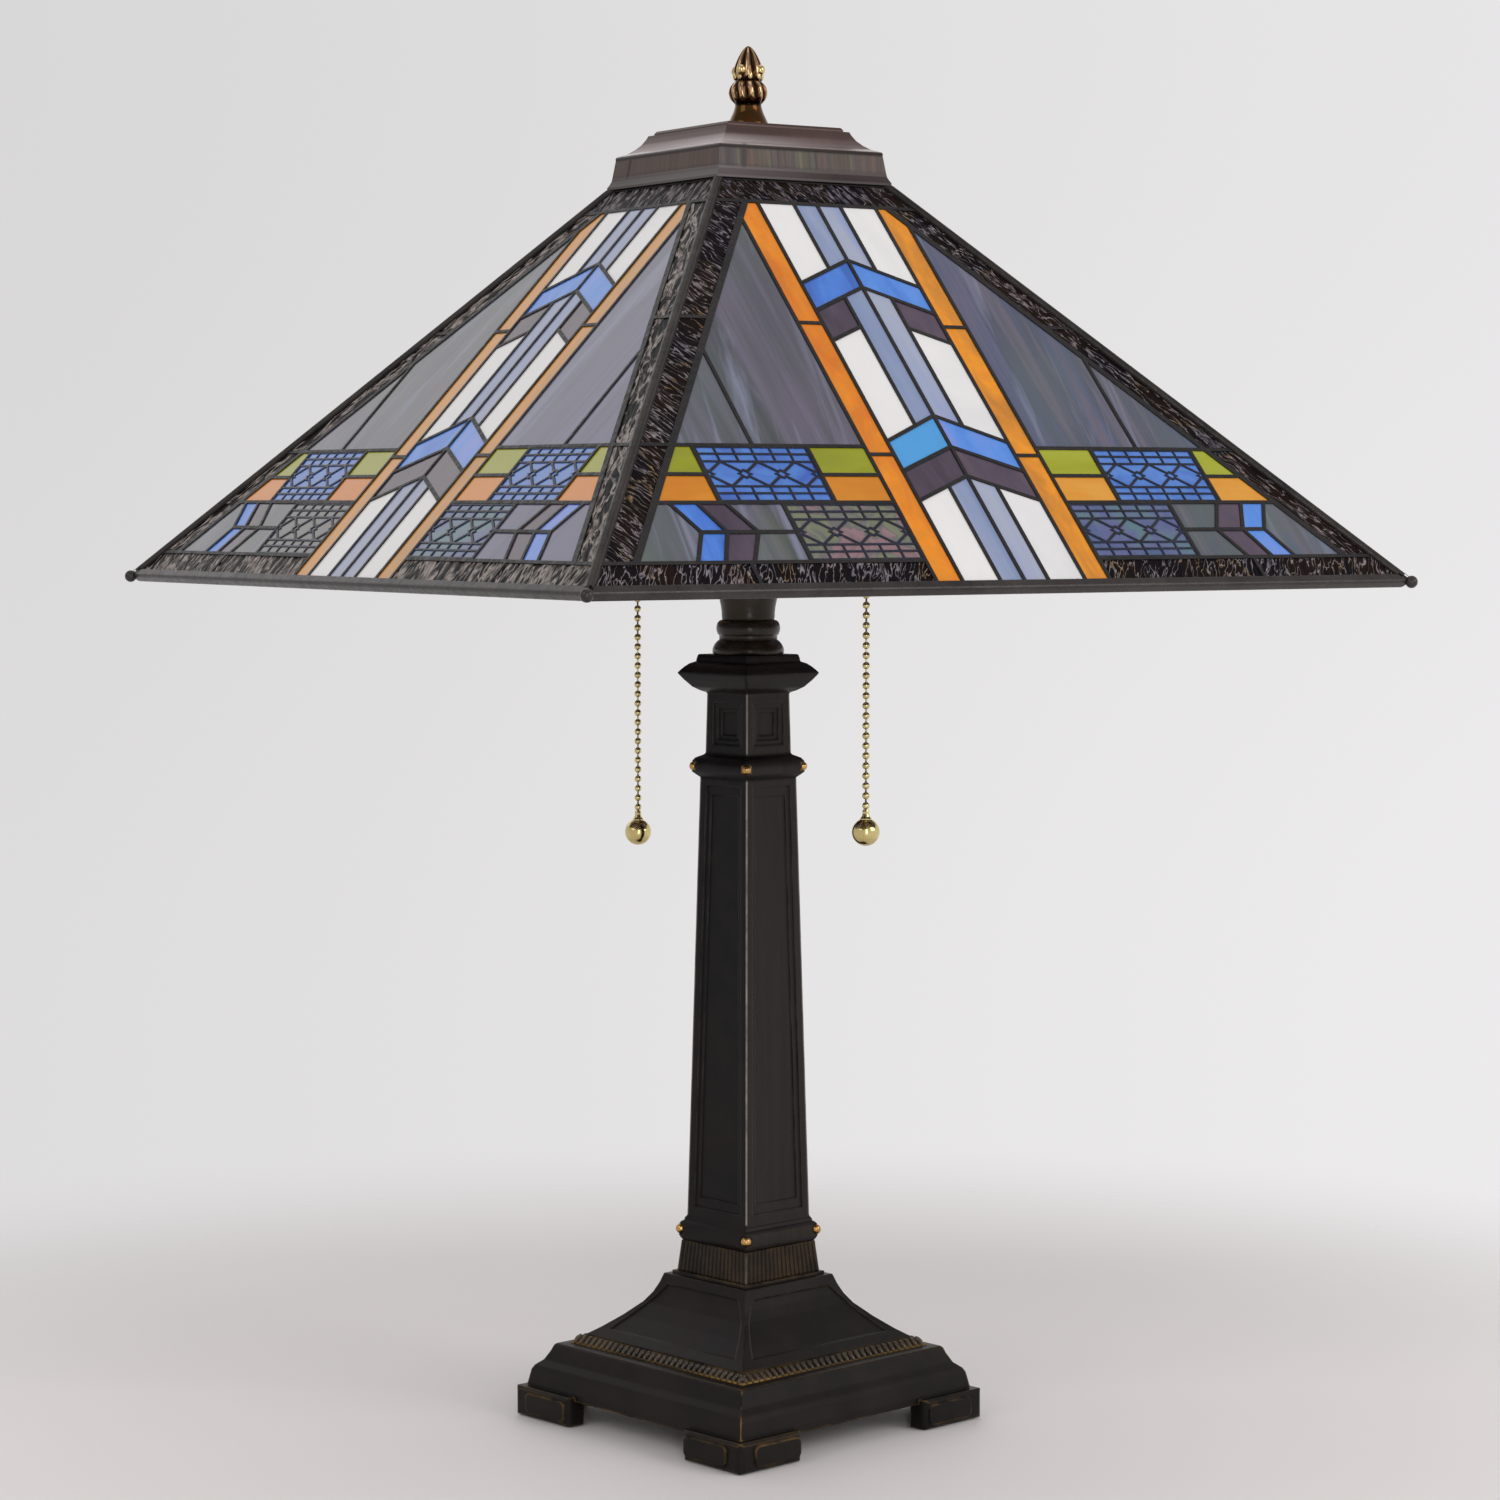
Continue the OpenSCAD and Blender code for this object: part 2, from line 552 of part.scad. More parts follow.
white_cells = concat(column_cells(lilac_u, white_u), [band(lilac_u, white_u, 2, 3)]);
lilac_cells = concat(column_cells(0, lilac_u), [band(0, lilac_u, 1, 3)]);
orange_cells = [box(white_u, orange_u, low_v, orange_v[0]), box(white_u, orange_u, orange_v[0], orange_v[1]),
  [[white_u, orange_v[1]], [orange_u, orange_v[1]], [orange_u, meet_v], [hip(top_v), top_v],
    [white_u, top_v]]];
amber_cells = [box(orange_u, screen_u[0], row_v[2], row_v[3]), to_hip(screen_u[1], row_v[2], row_v[3])];
lime_cells = [box(orange_u, screen_u[0], row_v[3], row_v[4]), to_hip(screen_u[1], row_v[3], row_v[4])];
blue_cells = concat([band(0, white_u, 0, 1), band(0, white_u, 3, 4)], arrows(1, 2));
purple_cells = concat([band(lilac_u, white_u, 1, 2), band(0, white_u, 4, 5)], arrows(0, 1));
slate_cells = [
  [[orange_u, row_v[4]], [teal_u, row_v[4]], [teal_u, (cell_u - teal_u) / hip_m], [orange_u, meet_v]],
  [[teal_u, row_v[4]], [hip(row_v[4]), row_v[4]], [teal_u, (cell_u - teal_u) / hip_m]],
  [[teal_u, row_v[1]], [arrow[0][1], row_v[1]], [arrow[0][0], row_v[2]], [teal_u, row_v[2]]],
  [[teal_u, row_v[0]], [arrow[0][0], row_v[0]], [arrow[0][1], row_v[1]], [teal_u, row_v[1]]],
  [[arrow[2][0], row_v[0]], [hip(row_v[0]), row_v[0]], [hip(row_v[2]), row_v[2]], [arrow[2][0], row_v[2]],
    [arrow[2][1], row_v[1]]]];
sky_cells = [box(screen_u[0], screen_u[1], row_v[2], row_v[4])];
teal_cells = [box(orange_u, teal_u, row_v[0], row_v[2])];
ripple_cells = [box(orange_u, border_mid, low_v, row_v[0]),
  [[border_mid, low_v], [outer(low_v), low_v], [outer(row_v[0]), row_v[0]], [border_mid, row_v[0]]],
  strip(row_v[0], border_v[0]), strip(border_v[0], border_v[1]), strip(border_v[1], top_v)];
top_cell = [[-outer(top_v), top_v], [outer(top_v), top_v], [outer(face_len + 0.5), face_len + 0.5],
  [-outer(face_len + 0.5), face_len + 0.5]];
half_cells = concat(white_cells, lilac_cells, orange_cells, amber_cells, lime_cells, blue_cells, purple_cells,
  slate_cells, sky_cells, teal_cells, ripple_cells);
all_cells = concat(half_cells, [for (c = half_cells) flip(c)], [top_cell]);

function panel_line(v) = rim_half - hip_inset * hip_k - hip_m * v;
module panel_outline(v0, v1) {
  polygon([[-panel_line(v0), v0], [panel_line(v0), v0], [panel_line(v1), v1], [-panel_line(v1), v1]]);
}
// Moves a face's own frame (u, v, outwards) to side k of the shade.
module on_face(k) {
  rotate([0, 0, shade_turn + 90 * k]) translate([0, -rim_half, rim_z]) rotate([slope, 0, 0]) children();
}
module network(low, high, d) {
  translate([0, 0, low]) linear_extrude(high - low) difference() {
    panel_outline(panel_low, panel_top);
    for (c = all_cells) polygon(inset(c, d));
  }
}
// The quarter of the shade that side k fills, short of the mitre planes by a gap.
module quarter(k, gap) {
  rotate([0, 0, shade_turn + 90 * k]) translate([0, 0, rim_z - 20]) linear_extrude(face_rise + 60)
    polygon([[0, -gap], [300, -300 - gap], [-300, -300 - gap]]);
}
module lead(k) {
  color("#3a3430") difference() {
    intersection() {
      on_face(k) union() {
        network(-sink - flange_t, -sink, lead_w / 2);
        network(-sink - flange_t - glass_t, -sink - flange_t, lead_w / 2 - lead_grip);
        network(-sink - panel_t, -sink - flange_t - glass_t, lead_w / 2);
      }
      quarter(k, 0.04);
    }
    rim_spheres();
  }
}
module panes(cells) {
  for (k = [0:3]) on_face(k) translate([0, 0, -sink - flange_t - glass_t]) linear_extrude(glass_t)
    for (c = cells) {
      polygon(inset(c, lead_w / 2 - lead_grip));
      polygon(inset(flip(c), lead_w / 2 - lead_grip));
    }
}
module lead_front() { lead(0); }
module lead_right() { lead(1); }
module lead_back() { lead(2); }
module lead_left() { lead(3); }
module glass_white() { color("#e6e5e4") panes(white_cells); }
module glass_lilac() { color("#9ba0c3") panes(lilac_cells); }
module glass_orange() { color("#de871e") panes(orange_cells); }
module glass_amber() { color("#dc963c") panes(amber_cells); }
module glass_lime() { color("#a0af28") panes(lime_cells); }
module glass_blue() { color("#5582d7") panes(blue_cells); }
module glass_purple() { color("#554858") panes(purple_cells); }
module glass_slate() { color("#5f5f73") panes(slate_cells); }
module glass_sky() { color("#5a82dc") panes(sky_cells); }
module glass_teal() { color("#4a6a8c") panes(teal_cells); }
module glass_ripple() {
  color("#3a3232") union() {
    panes(ripple_cells);
    for (k = [0:3]) on_face(k) translate([0, 0, -sink - flange_t - glass_t]) linear_extrude(glass_t)
      polygon(inset(top_cell, lead_w / 2 - lead_grip));
  }
}

// Pressed screen over the sky and teal panes, drawn about its own middle.
brick = [7.8, 8.7];
gem = [7, 5.9];
module screen(w, h) {
  linear_extrude(screen_t) difference() {
    square([w, h], center = true);
    for (x = [-2.5:2.5]) {
      for (y = [[12.6, 2.8], [8.7, 3.2], [-8.5, 2.8], [-12.4, 3.2]])
        translate([x * brick[1], y[0]]) square([brick[0], y[1]], center = true);
    }
    // large gems with stepped sides
    for (x = [-2, 0, 2]) translate([x * brick[1], 0])
      polygon([[0, gem[1]], [gem[0], 0.9], [5, 0.2], [gem[0] - 0.2, -0.8], [0, -gem[1]], [-gem[0], -0.9],
        [-5, -0.2], [-gem[0] + 0.2, 0.8]]);
    intersection() {
      square([w - 1.2, 12.4], center = true);
      for (x = [-3, -1, 1, 3]) translate([x * brick[1], 0]) {
        polygon([[0, 1.6], [1.9, 0], [0, -1.6], [-1.9, 0]]);
        for (s = [-1, 1])
          polygon([[0, s * 2.6], [1.3, s * 1.9], [7.2, s * 6.2], [-7.2, s * 6.2], [-1.3, s * 1.9]]);
      }
    }
  }
}
screen_cells = concat(sky_cells, teal_cells);
module screens() {
  color("#2c2a2c") for (k = [0:3]) on_face(k) for (c = screen_cells) for (s = [-1, 1])
    translate([s * (c[0][0] + c[1][0]) / 2, (c[0][1] + c[2][1]) / 2, -sink - flange_t])
      screen(c[1][0] - c[0][0] - lead_w, c[2][1] - c[0][1] - lead_w);
}

// ---- rim and hips ----

hip_len = sqrt(2 * face_run * face_run + face_rise * face_rise);
hip_tilt = atan2(face_run * sqrt(2), face_rise);
module hip_line() {
  for (k = [0:3]) rotate([0, 0, shade_turn + 90 * k + 45]) translate([rim_half * sqrt(2), 0, rim_z])
    rotate([0, -hip_tilt, 0]) translate([-hip_low, 0, 0]) cylinder(r = hip_r, h = hip_len + 10);
}
module rim_spheres() {
  for (k = [0:3]) rotate([0, 0, shade_turn + 90 * k])
    translate([rim_half - rim_ball_in, rim_half - rim_ball_in, rim_z - 0.3]) sphere(r = rim_ball_r);
}
module hip_beads() {
  color("#4a3f36") difference() {
    hip_line();
    for (k = [0:3]) on_face(k) {
      translate([0, 0, -sink - panel_t]) linear_extrude(panel_t) panel_outline(-5, panel_top + 10);
      translate([-230, -20, -rim_back]) cube([460, 20 + rim_top, rim_back + eps]);
    }
    rim_spheres();
    translate([-100, -100, cap_z - 0.05]) cube([200, 200, 60]);
  }
}
// The channel's section, up the slope and outwards: a rounded back, two lips and the groove between them.
rim_bend = 1.4;
rim_gap = 0.1;
function bend(v, n, a) =
  [for (i = [0:4]) [v + rim_bend * cos(a + i * 22.5), n + rim_bend * sin(a + i * 22.5)]];
rim_section = concat([[rim_top, -rim_front - 0.2], [rim_top - 0.2, -rim_front]],
  bend(rim_low + rim_bend, -rim_front - rim_bend, 90), bend(rim_low + rim_bend, -rim_back + rim_bend, 180),
  [[rim_top, -rim_back], [rim_top, -sink - panel_t], [panel_low, -sink - panel_t], [panel_low, -sink],
    [rim_top, -sink]]);
module rim_channels() {
  color("#3c342e") difference() {
    for (k = [0:3]) intersection() {
      on_face(k) rotate([90, 0, 90]) linear_extrude(2 * rim_half + 20, center = true) polygon(rim_section);
      quarter(k, rim_gap);
    }
    rim_spheres();
  }
}
module rim_balls() { color("#5a4c3c") rim_spheres(); }

plinth_casting();
felt_pads();
base_weight();
base_washer();
base_locknut();
cord_bushing();
rope_rail();
fluted_band();
column_casting();
capital_casting();
corner_studs();
neck_ring();
bead_ring();
neck_cup();
lamp_pipe();
cluster_body();
cluster_arms();
socket_caps();
socket_shells();
socket_liners();
socket_screws();
chain_guides();
bulb_bases();
bulb_glass();
riser_rod();
riser_nut();
rest_disc();
stub_right();
stub_left();
chain_right();
chain_left();
bell_right();
bell_left();
knob_right();
knob_left();
shade_cap();
cap_plate();
lead_front();
lead_right();
lead_back();
lead_left();
hip_beads();
rim_channels();
rim_balls();
glass_white();
glass_lilac();
glass_orange();
glass_amber();
glass_lime();
glass_blue();
glass_purple();
glass_slate();
glass_sky();
glass_teal();
glass_ripple();
screens();
finial_insert();
finial();
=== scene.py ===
import math

import bpy
from mathutils import Matrix, Vector


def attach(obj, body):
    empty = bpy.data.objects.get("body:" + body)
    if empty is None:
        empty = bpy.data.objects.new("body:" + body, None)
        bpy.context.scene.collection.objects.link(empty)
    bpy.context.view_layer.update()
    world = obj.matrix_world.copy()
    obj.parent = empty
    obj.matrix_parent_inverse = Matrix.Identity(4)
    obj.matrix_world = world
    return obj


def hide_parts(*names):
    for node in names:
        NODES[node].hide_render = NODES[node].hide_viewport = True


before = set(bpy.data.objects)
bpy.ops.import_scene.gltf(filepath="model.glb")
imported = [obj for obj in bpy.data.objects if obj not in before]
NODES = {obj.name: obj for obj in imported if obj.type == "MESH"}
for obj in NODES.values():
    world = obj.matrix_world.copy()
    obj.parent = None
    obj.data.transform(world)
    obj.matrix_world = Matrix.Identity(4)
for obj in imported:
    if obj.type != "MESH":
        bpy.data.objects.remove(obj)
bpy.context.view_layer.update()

MM = 0.001
scene = bpy.context.scene
scene.view_settings.view_transform = "Standard"

# ---------------------------------------------------------------- camera and lights

CAM_AZ, CAM_TILT = math.radians(46.8), math.radians(3.855)
CAM_DIST, CAM_H, CAM_SIDE = 1.657, 0.41196, 0.00078
LENS, SENSOR = 89.67, 36.0

# name, place as the camera sees it (right, back, up), height it points at, width, power, height if not square
LIGHTS = [
    ("key_left", (-1.5, -1.3, 1.7), 0.35, 1.3, 7),
    ("key_right", (1.8, -0.9, 1.3), 0.35, 1.2, 13),
    ("top", (0.0, 0.2, 2.3), 0.3, 1.6, 5),
    # a soft window behind the lamp's left: the left face of the shade mirrors it
    ("window_left", (-1.35, 1.67, 1.75), 0.45, 1.7, 4),
    # a soft panel high behind the lamp gives the cap's hollow roof its sheen
    ("window_back", (0.05, 2.0, 1.8), 0.5, 1.1, 4.5),
    # a tall narrow light by the camera draws the bright line down the front corners
    ("front_strip", (0.25, -2.2, 0.55), 0.3, 0.35, 9, 1.5),
]


def seen_from_camera(right, back, up):
    """A point given to the right of, behind and above the lamp's foot as the camera sees it."""
    return Vector((
        right * math.cos(CAM_AZ) - back * math.sin(CAM_AZ),
        right * math.sin(CAM_AZ) + back * math.cos(CAM_AZ),
        up,
    ))


def add_camera():
    data = bpy.data.cameras.new("camera")
    data.lens, data.sensor_width = LENS, SENSOR
    data.clip_start, data.clip_end = 0.05, 50.0
    o = bpy.data.objects.new("camera", data)
    o.location = seen_from_camera(CAM_SIDE, -CAM_DIST, CAM_H)
    o.rotation_euler = (math.pi / 2 - CAM_TILT, 0.0, CAM_AZ)
    scene.collection.objects.link(o)
    scene.camera = o


def add_light(name, place, aim_z, width, power, height=None):
    data = bpy.data.lights.new(name, "AREA")
    data.energy, data.size = power, width
    if height:
        data.shape, data.size_y = "RECTANGLE", height
    o = bpy.data.objects.new(name, data)
    o.location = seen_from_camera(*place)
    o.rotation_euler = (Vector((0, 0, aim_z)) - o.location).to_track_quat("-Z", "Y").to_euler()
    scene.collection.objects.link(o)


add_camera()
for light in LIGHTS:
    add_light(*light)


# ---------------------------------------------------------------- node helpers

# the shade stands turned a little on the base; its faces rise from the rim at one slope
SHADE_TURN = math.radians(10)
RIM_Z = 376.6 * MM
SLOPE_PER_RISE = 1.3696


def lin(r, g, b):
    """A colour from 0-255 display values."""
    curve = [((c / 255 + 0.055) / 1.055) ** 2.4 if c > 10 else c / 255 / 12.92 for c in (r, g, b)]
    return tuple(curve) + (1.0,)


class Tree:
    """A node tree, built a call at a time."""

    def __init__(self, tree):
        self.t = tree

    def put(self, socket, value):
        """Links or sets a socket; None leaves it alone."""
        if isinstance(value, bpy.types.NodeSocket):
            self.t.links.new(value, socket)
        elif value is not None:
            socket.default_value = value

    def node(self, kind, ins=None, **props):
        n = self.t.nodes.new("ShaderNode" + kind)
        for k, v in props.items():
            setattr(n, k, v)
        for k, v in (ins or {}).items():
            self.put(n.inputs[k], v)
        return n

    def math(self, op, a, b=0.5, clamp=False):
        return self.node("Math", {0: a, 1: b}, operation=op, use_clamp=clamp).outputs[0]

    def times(self, a, b):
        return self.math("MULTIPLY", a, b)

    def plus(self, a, b):
        return self.math("ADD", a, b)

    def minus(self, a, b):
        return self.math("SUBTRACT", a, b)

    def above(self, a, b):
        return self.math("GREATER_THAN", a, b)

    def below(self, a, b):
        return self.math("LESS_THAN", a, b)

    def grey(self, fac, lo, hi, a=0.0, b=1.0, curve="LINEAR"):
        """Maps fac from lo..hi to a..b, clamped."""
        return self.node("MapRange", {0: fac, 1: lo, 2: hi, 3: a, 4: b}, interpolation_type=curve).outputs[0]


class Material(Tree):
    """A material with one Principled shader."""

    def __init__(self, name):
        self.mat = bpy.data.materials.new(name)
        self.mat.use_nodes = True
        super().__init__(self.mat.node_tree)
        self.t.nodes.clear()
        self.out = self.node("OutputMaterial")
        self.bsdf = self.node("BsdfPrincipled")
        self.t.links.new(self.bsdf.outputs[0], self.out.inputs[0])

    def set(self, **values):
        for k, v in values.items():
            self.put(self.bsdf.inputs[k.replace("_", " ")], v)

    def mix(self, fac, a, b):
        n = self.node("Mix", data_type="RGBA")
        self.put(n.inputs[0], fac)
        self.put(n.inputs[6], a)
        self.put(n.inputs[7], b)
        return n.outputs[2]

    def ramp(self, fac, stops):
        n = self.node("ValToRGB", {0: fac})
        while len(n.color_ramp.elements) < len(stops):
            n.color_ramp.elements.new(0.5)
        for e, (at, colour) in zip(n.color_ramp.elements, stops):
            e.position = at
            e.color = colour
        return n.outputs[0]

    def coords(self, scale=(1, 1, 1), turn=(0, 0, 0), source=None):
        src = source or self.node("TexCoord").outputs["Object"]
        return self.node("Mapping", {"Vector": src, "Scale": scale, "Rotation": turn}).outputs[0]

    def xyz(self, vec):
        return self.node("SeparateXYZ", {0: vec}).outputs

    def vector(self, x, y, z):
        return self.node("CombineXYZ", {0: x, 1: y, 2: z}).outputs[0]

    def dot(self, a, b):
        return self.node("VectorMath", {0: a, 1: b}, operation="DOT_PRODUCT").outputs["Value"]

    def noise(self, vec, scale, detail=3.0, rough=0.55, dist=0.0):
        ins = {"Vector": vec, "Scale": scale, "Detail": detail, "Roughness": rough, "Distortion": dist}
        return self.node("TexNoise", ins).outputs[0]

    def bump(self, height, strength, distance, normal=None):
        ins = {"Height": height, "Strength": strength, "Distance": distance, "Normal": normal}
        return self.node("Bump", ins).outputs[0]

    def rounded(self, size):
        """The surface's normal with its edges rounded off."""
        return self.node("Bevel", {"Radius": size}, samples=4).outputs[0]

    def worn_edges(self, size):
        """1 on outside edges and corners, 0 on flats and in inside corners."""
        turn = self.dot(self.rounded(size), self.node("NewGeometry").outputs["True Normal"])
        ao = self.node("AmbientOcclusion", {"Distance": size * 2.2}, samples=4, inside=True, only_local=True)
        outside = self.grey(ao.outputs["AO"], 0.75, 0.97, 1.0, 0.0)
        return self.times(self.grey(self.minus(1.0, turn), 0.02, 0.2), outside)

    def hollows(self, size):
        """1 deep in hollows, 0 where open."""
        ao = self.node("AmbientOcclusion", {"Distance": size}, samples=6, only_local=True)
        return self.grey(ao.outputs["AO"], 0.45, 0.95, 1.0, 0.0)

    def between(self, z, spans, soft=0.001):
        """1 where z lies in one of the spans."""
        out = 0.0
        for lo, hi in spans:
            inside = self.times(self.grey(z, lo - soft, lo), self.grey(z, hi, hi + soft, 1.0, 0.0))
            out = self.math("MAXIMUM", inside, out)
        return out

    def corners(self, spans, lo=0.0002, hi=0.0008):
        """1 down the four upright corners of a square piece, between the heights in spans."""
        x, y, z = self.xyz(self.coords())
        off = self.minus(self.math("ABSOLUTE", x), self.math("ABSOLUTE", y))
        return self.times(self.grey(self.math("ABSOLUTE", off), lo, hi, 1.0, 0.0), self.between(z, spans))

    def facing(self, right, back, up, lo, hi):
        """1 where the surface faces that way."""
        toward = seen_from_camera(right, back, up).normalized()
        return self.grey(self.dot(self.node("NewGeometry").outputs["Normal"], tuple(toward)), lo, hi)

    def face(self):
        """Where a point of the shade lies: u across its face and v up it in metres, the flat vector made of
        them, and 1 or 0 for the face to the camera's left and the one to its right."""
        x, y, z = self.xyz(self.coords(turn=(0, 0, SHADE_TURN)))
        side = self.above(self.math("ABSOLUTE", x), self.math("ABSOLUTE", y))
        other = self.minus(1.0, side)
        u = self.plus(self.times(side, y), self.times(other, x))
        v = self.times(self.minus(z, RIM_Z), SLOPE_PER_RISE)
        left = self.times(other, self.below(y, 0.0))
        right = self.times(side, self.above(x, 0.0))
        which = self.plus(self.times(left, 1.7), self.times(right, 3.1))
        return u, v, self.vector(u, v, which), left, right

    def half_face(self):
        """A number from 0 to 1 for each half of each face."""
        u, v, flat, left, right = self.face()
        which = self.plus(self.times(left, 3.7), self.times(right, 5.9))
        key = self.plus(self.times(self.above(u, 0.0), 11.3), which)
        return self.node("TexWhiteNoise", {"W": key}, noise_dimensions="1D").outputs["Value"]

    def own_part(self, flat):
        """The flat vector moved to another part of the sheet in each half of each face."""
        half = self.half_face()
        shift = self.vector(self.times(half, 7.3), self.times(half, 3.9), self.times(half, 5.1))
        return self.node("VectorMath", {0: flat, 1: shift}, operation="ADD").outputs[0]


# ---------------------------------------------------------------- the room

def add_world():
    """A pale room: a little brighter to the right, dimmer overhead."""
    scene.world = bpy.data.worlds.new("studio")
    scene.world.use_nodes = True
    w = Tree(scene.world.node_tree)
    toward = w.node("SeparateXYZ", {0: w.node("TexCoord").outputs["Generated"]}).outputs
    rightwards = w.plus(w.times(toward[0], math.cos(CAM_AZ)), w.times(toward[1], math.sin(CAM_AZ)))
    sides = w.grey(rightwards, -0.3, 0.3, 0.70, 0.83, "SMOOTHSTEP")
    overhead = w.grey(toward[2], 0.16, 0.85, 1.0, 0.55, "SMOOTHSTEP")
    horizon = w.grey(toward[2], -0.14, 0.12, 1.03, 0.975, "SMOOTHSTEP")
    background = w.t.nodes["Background"]
    background.inputs[0].default_value = (1.0, 0.985, 0.99, 1)
    w.put(background.inputs[1], w.times(w.times(sides, overhead), horizon))


add_world()

# ---------------------------------------------------------------- metals

# spans of height in metres: moulding edges rubbed gold all along, and the slope of the base that isn't
PLINTH_EDGES = [(0.0315, 0.0334), (0.0205, 0.0232)]
PLINTH_SLOPE = [(0.037, 0.0655)]
# painted highlight down the corners of column and capital, and of the fluted band; the knocked corners of the
# upper stud row
SHAFT_CORNERS = [(0.0925, 0.2875), (0.3, 0.3255)]
BAND_CORNERS = [(0.06, 0.078)]
UPPER_STUDS = [(0.2922, 0.2942)]
# the cap: soldered corners, the lip in painted shade, brushed band, the bead over it, then the roof: a
# painted sheen on its low part, painted shade at its top
CAP_CORNERS = (0.549, 0.5625)
CAP_LIP = (0.5522, 0.5545)
CAP_BAND = (0.5535, 0.5612)
CAP_BEAD = (0.5608, 0.5622)
CAP_ROOF = (0.5625, 0.5635)
ROOF_PALE = (0.5645, 0.5685)
ROOF_TOP = (0.567, 0.571)

BARE_GOLD = lin(196, 150, 84)
# the pale colour of the painted highlight down the corners
PAINTED_HIGHLIGHT = lin(152, 141, 134)
# painted shade deep in hollows: near black on the bronzes, dark brown on the brasses
HOLLOW_SHADE = (0.002, 0.0018, 0.0016, 1)
BRASS_HOLLOW_SHADE = (0.03, 0.018, 0.008, 1)


def bronze(name, dark, brown, gold, wear=0.0009, amount=0.9, rough=0.36, shine=0.14, soft=0.0012,
           corner=0.0, spans=(), rubbed=(), calm=(), east=None, spots=()):
    """Cast metal with a near-black patina and painted shade deep in its hollows, rubbed to gold here and
    there on its raised edges.
    corner is how strongly a painted highlight runs down the corners in spans; edges in rubbed are rubbed all
    along, those in calm hardly;
    east is a lighter colour painted on the side to the camera's right, as painted light; spots are heights
    where the corners show bare gold."""
    n = Material(name)
    c = n.coords()
    z = n.xyz(c)[2]
    cloud = n.noise(c, 38.0, 5.0, 0.62)
    fine = n.noise(c, 420.0, 4.0, 0.6)
    base = n.mix(n.grey(cloud, 0.38, 0.72), dark, brown)
    # painted shade: near black deep in the hollows
    base = n.mix(n.times(n.hollows(0.004), 0.6), base, HOLLOW_SHADE)
    patches = n.grey(n.noise(c, 60.0, 4.0, 0.65), 0.40, 0.66)
    edges = n.worn_edges(wear)
    worn = n.math("MULTIPLY", edges, n.times(patches, amount), clamp=True)
    if rubbed:
        streaks = n.grey(n.noise(c, 70.0, 4.0, 0.65), 0.3, 0.55, 0.25, 1.0)
        worn = n.math("MAXIMUM", worn, n.times(n.times(edges, streaks), n.between(z, rubbed)))
    if calm:
        worn = n.times(worn, n.minus(1.0, n.times(n.between(z, calm), 0.75)))
    # painted light: the side toward the camera's right is painted lighter, with streaks
    if east:
        streaks = n.noise(n.coords((1, 1, 0.03)), 260.0, 3.0, 0.6)
        side = n.times(n.facing(0.7, -0.7, 0.0, 0.75, 0.95), n.grey(streaks, 0.3, 0.7, 0.55, 1.0))
        base = n.mix(side, base, east)
    base = n.mix(worn, base, gold)
    if spots:
        bare = n.times(n.corners(spots, 0.0022, 0.0036), n.grey(n.noise(c, 300.0, 3.0, 0.6), 0.3, 0.5))
        base = n.mix(bare, base, BARE_GOLD)
    # painted highlight: a pale, broken line down the corners in spans
    if corner:
        highlight_line = n.times(n.corners(spans), n.grey(n.noise(c, 60.0, 4.0, 0.6), 0.32, 0.6, 0.3, 1.0))
        base = n.mix(n.times(highlight_line, corner), base, PAINTED_HIGHLIGHT)
    patchy = n.grey(cloud, 0.3, 0.7, rough - 0.06, rough + 0.1)
    relief = n.plus(cloud, n.times(fine, 0.4))
    n.set(
        Base_Color=base,
        Metallic=n.times(worn, 0.5),
        Roughness=n.plus(patchy, n.grey(fine, 0.3, 0.7, -0.03, 0.03)),
        Normal=n.bump(relief, 0.22, 0.0003, n.rounded(soft)),
        Specular_IOR_Level=shine,
    )
    return n.mat


def brass(name, colour, shade, rough=0.16, dark=0.6, scale=160.0, bumps=0.12):
    """Turned or polished brass, with painted shade in its hollows."""
    n = Material(name)
    cloud = n.noise(n.coords(), scale, 4.0, 0.6)
    base = n.mix(n.grey(cloud, 0.35, 0.72), colour, shade)
    # painted shade in the hollows
    base = n.mix(n.times(n.hollows(0.0025), dark), base, BRASS_HOLLOW_SHADE)
    n.set(
        Base_Color=base,
        Metallic=1.0,
        Roughness=n.grey(cloud, 0.3, 0.7, rough - 0.05, rough + 0.08),
        Normal=n.bump(cloud, bumps, 0.0002),
    )
    return n.mat


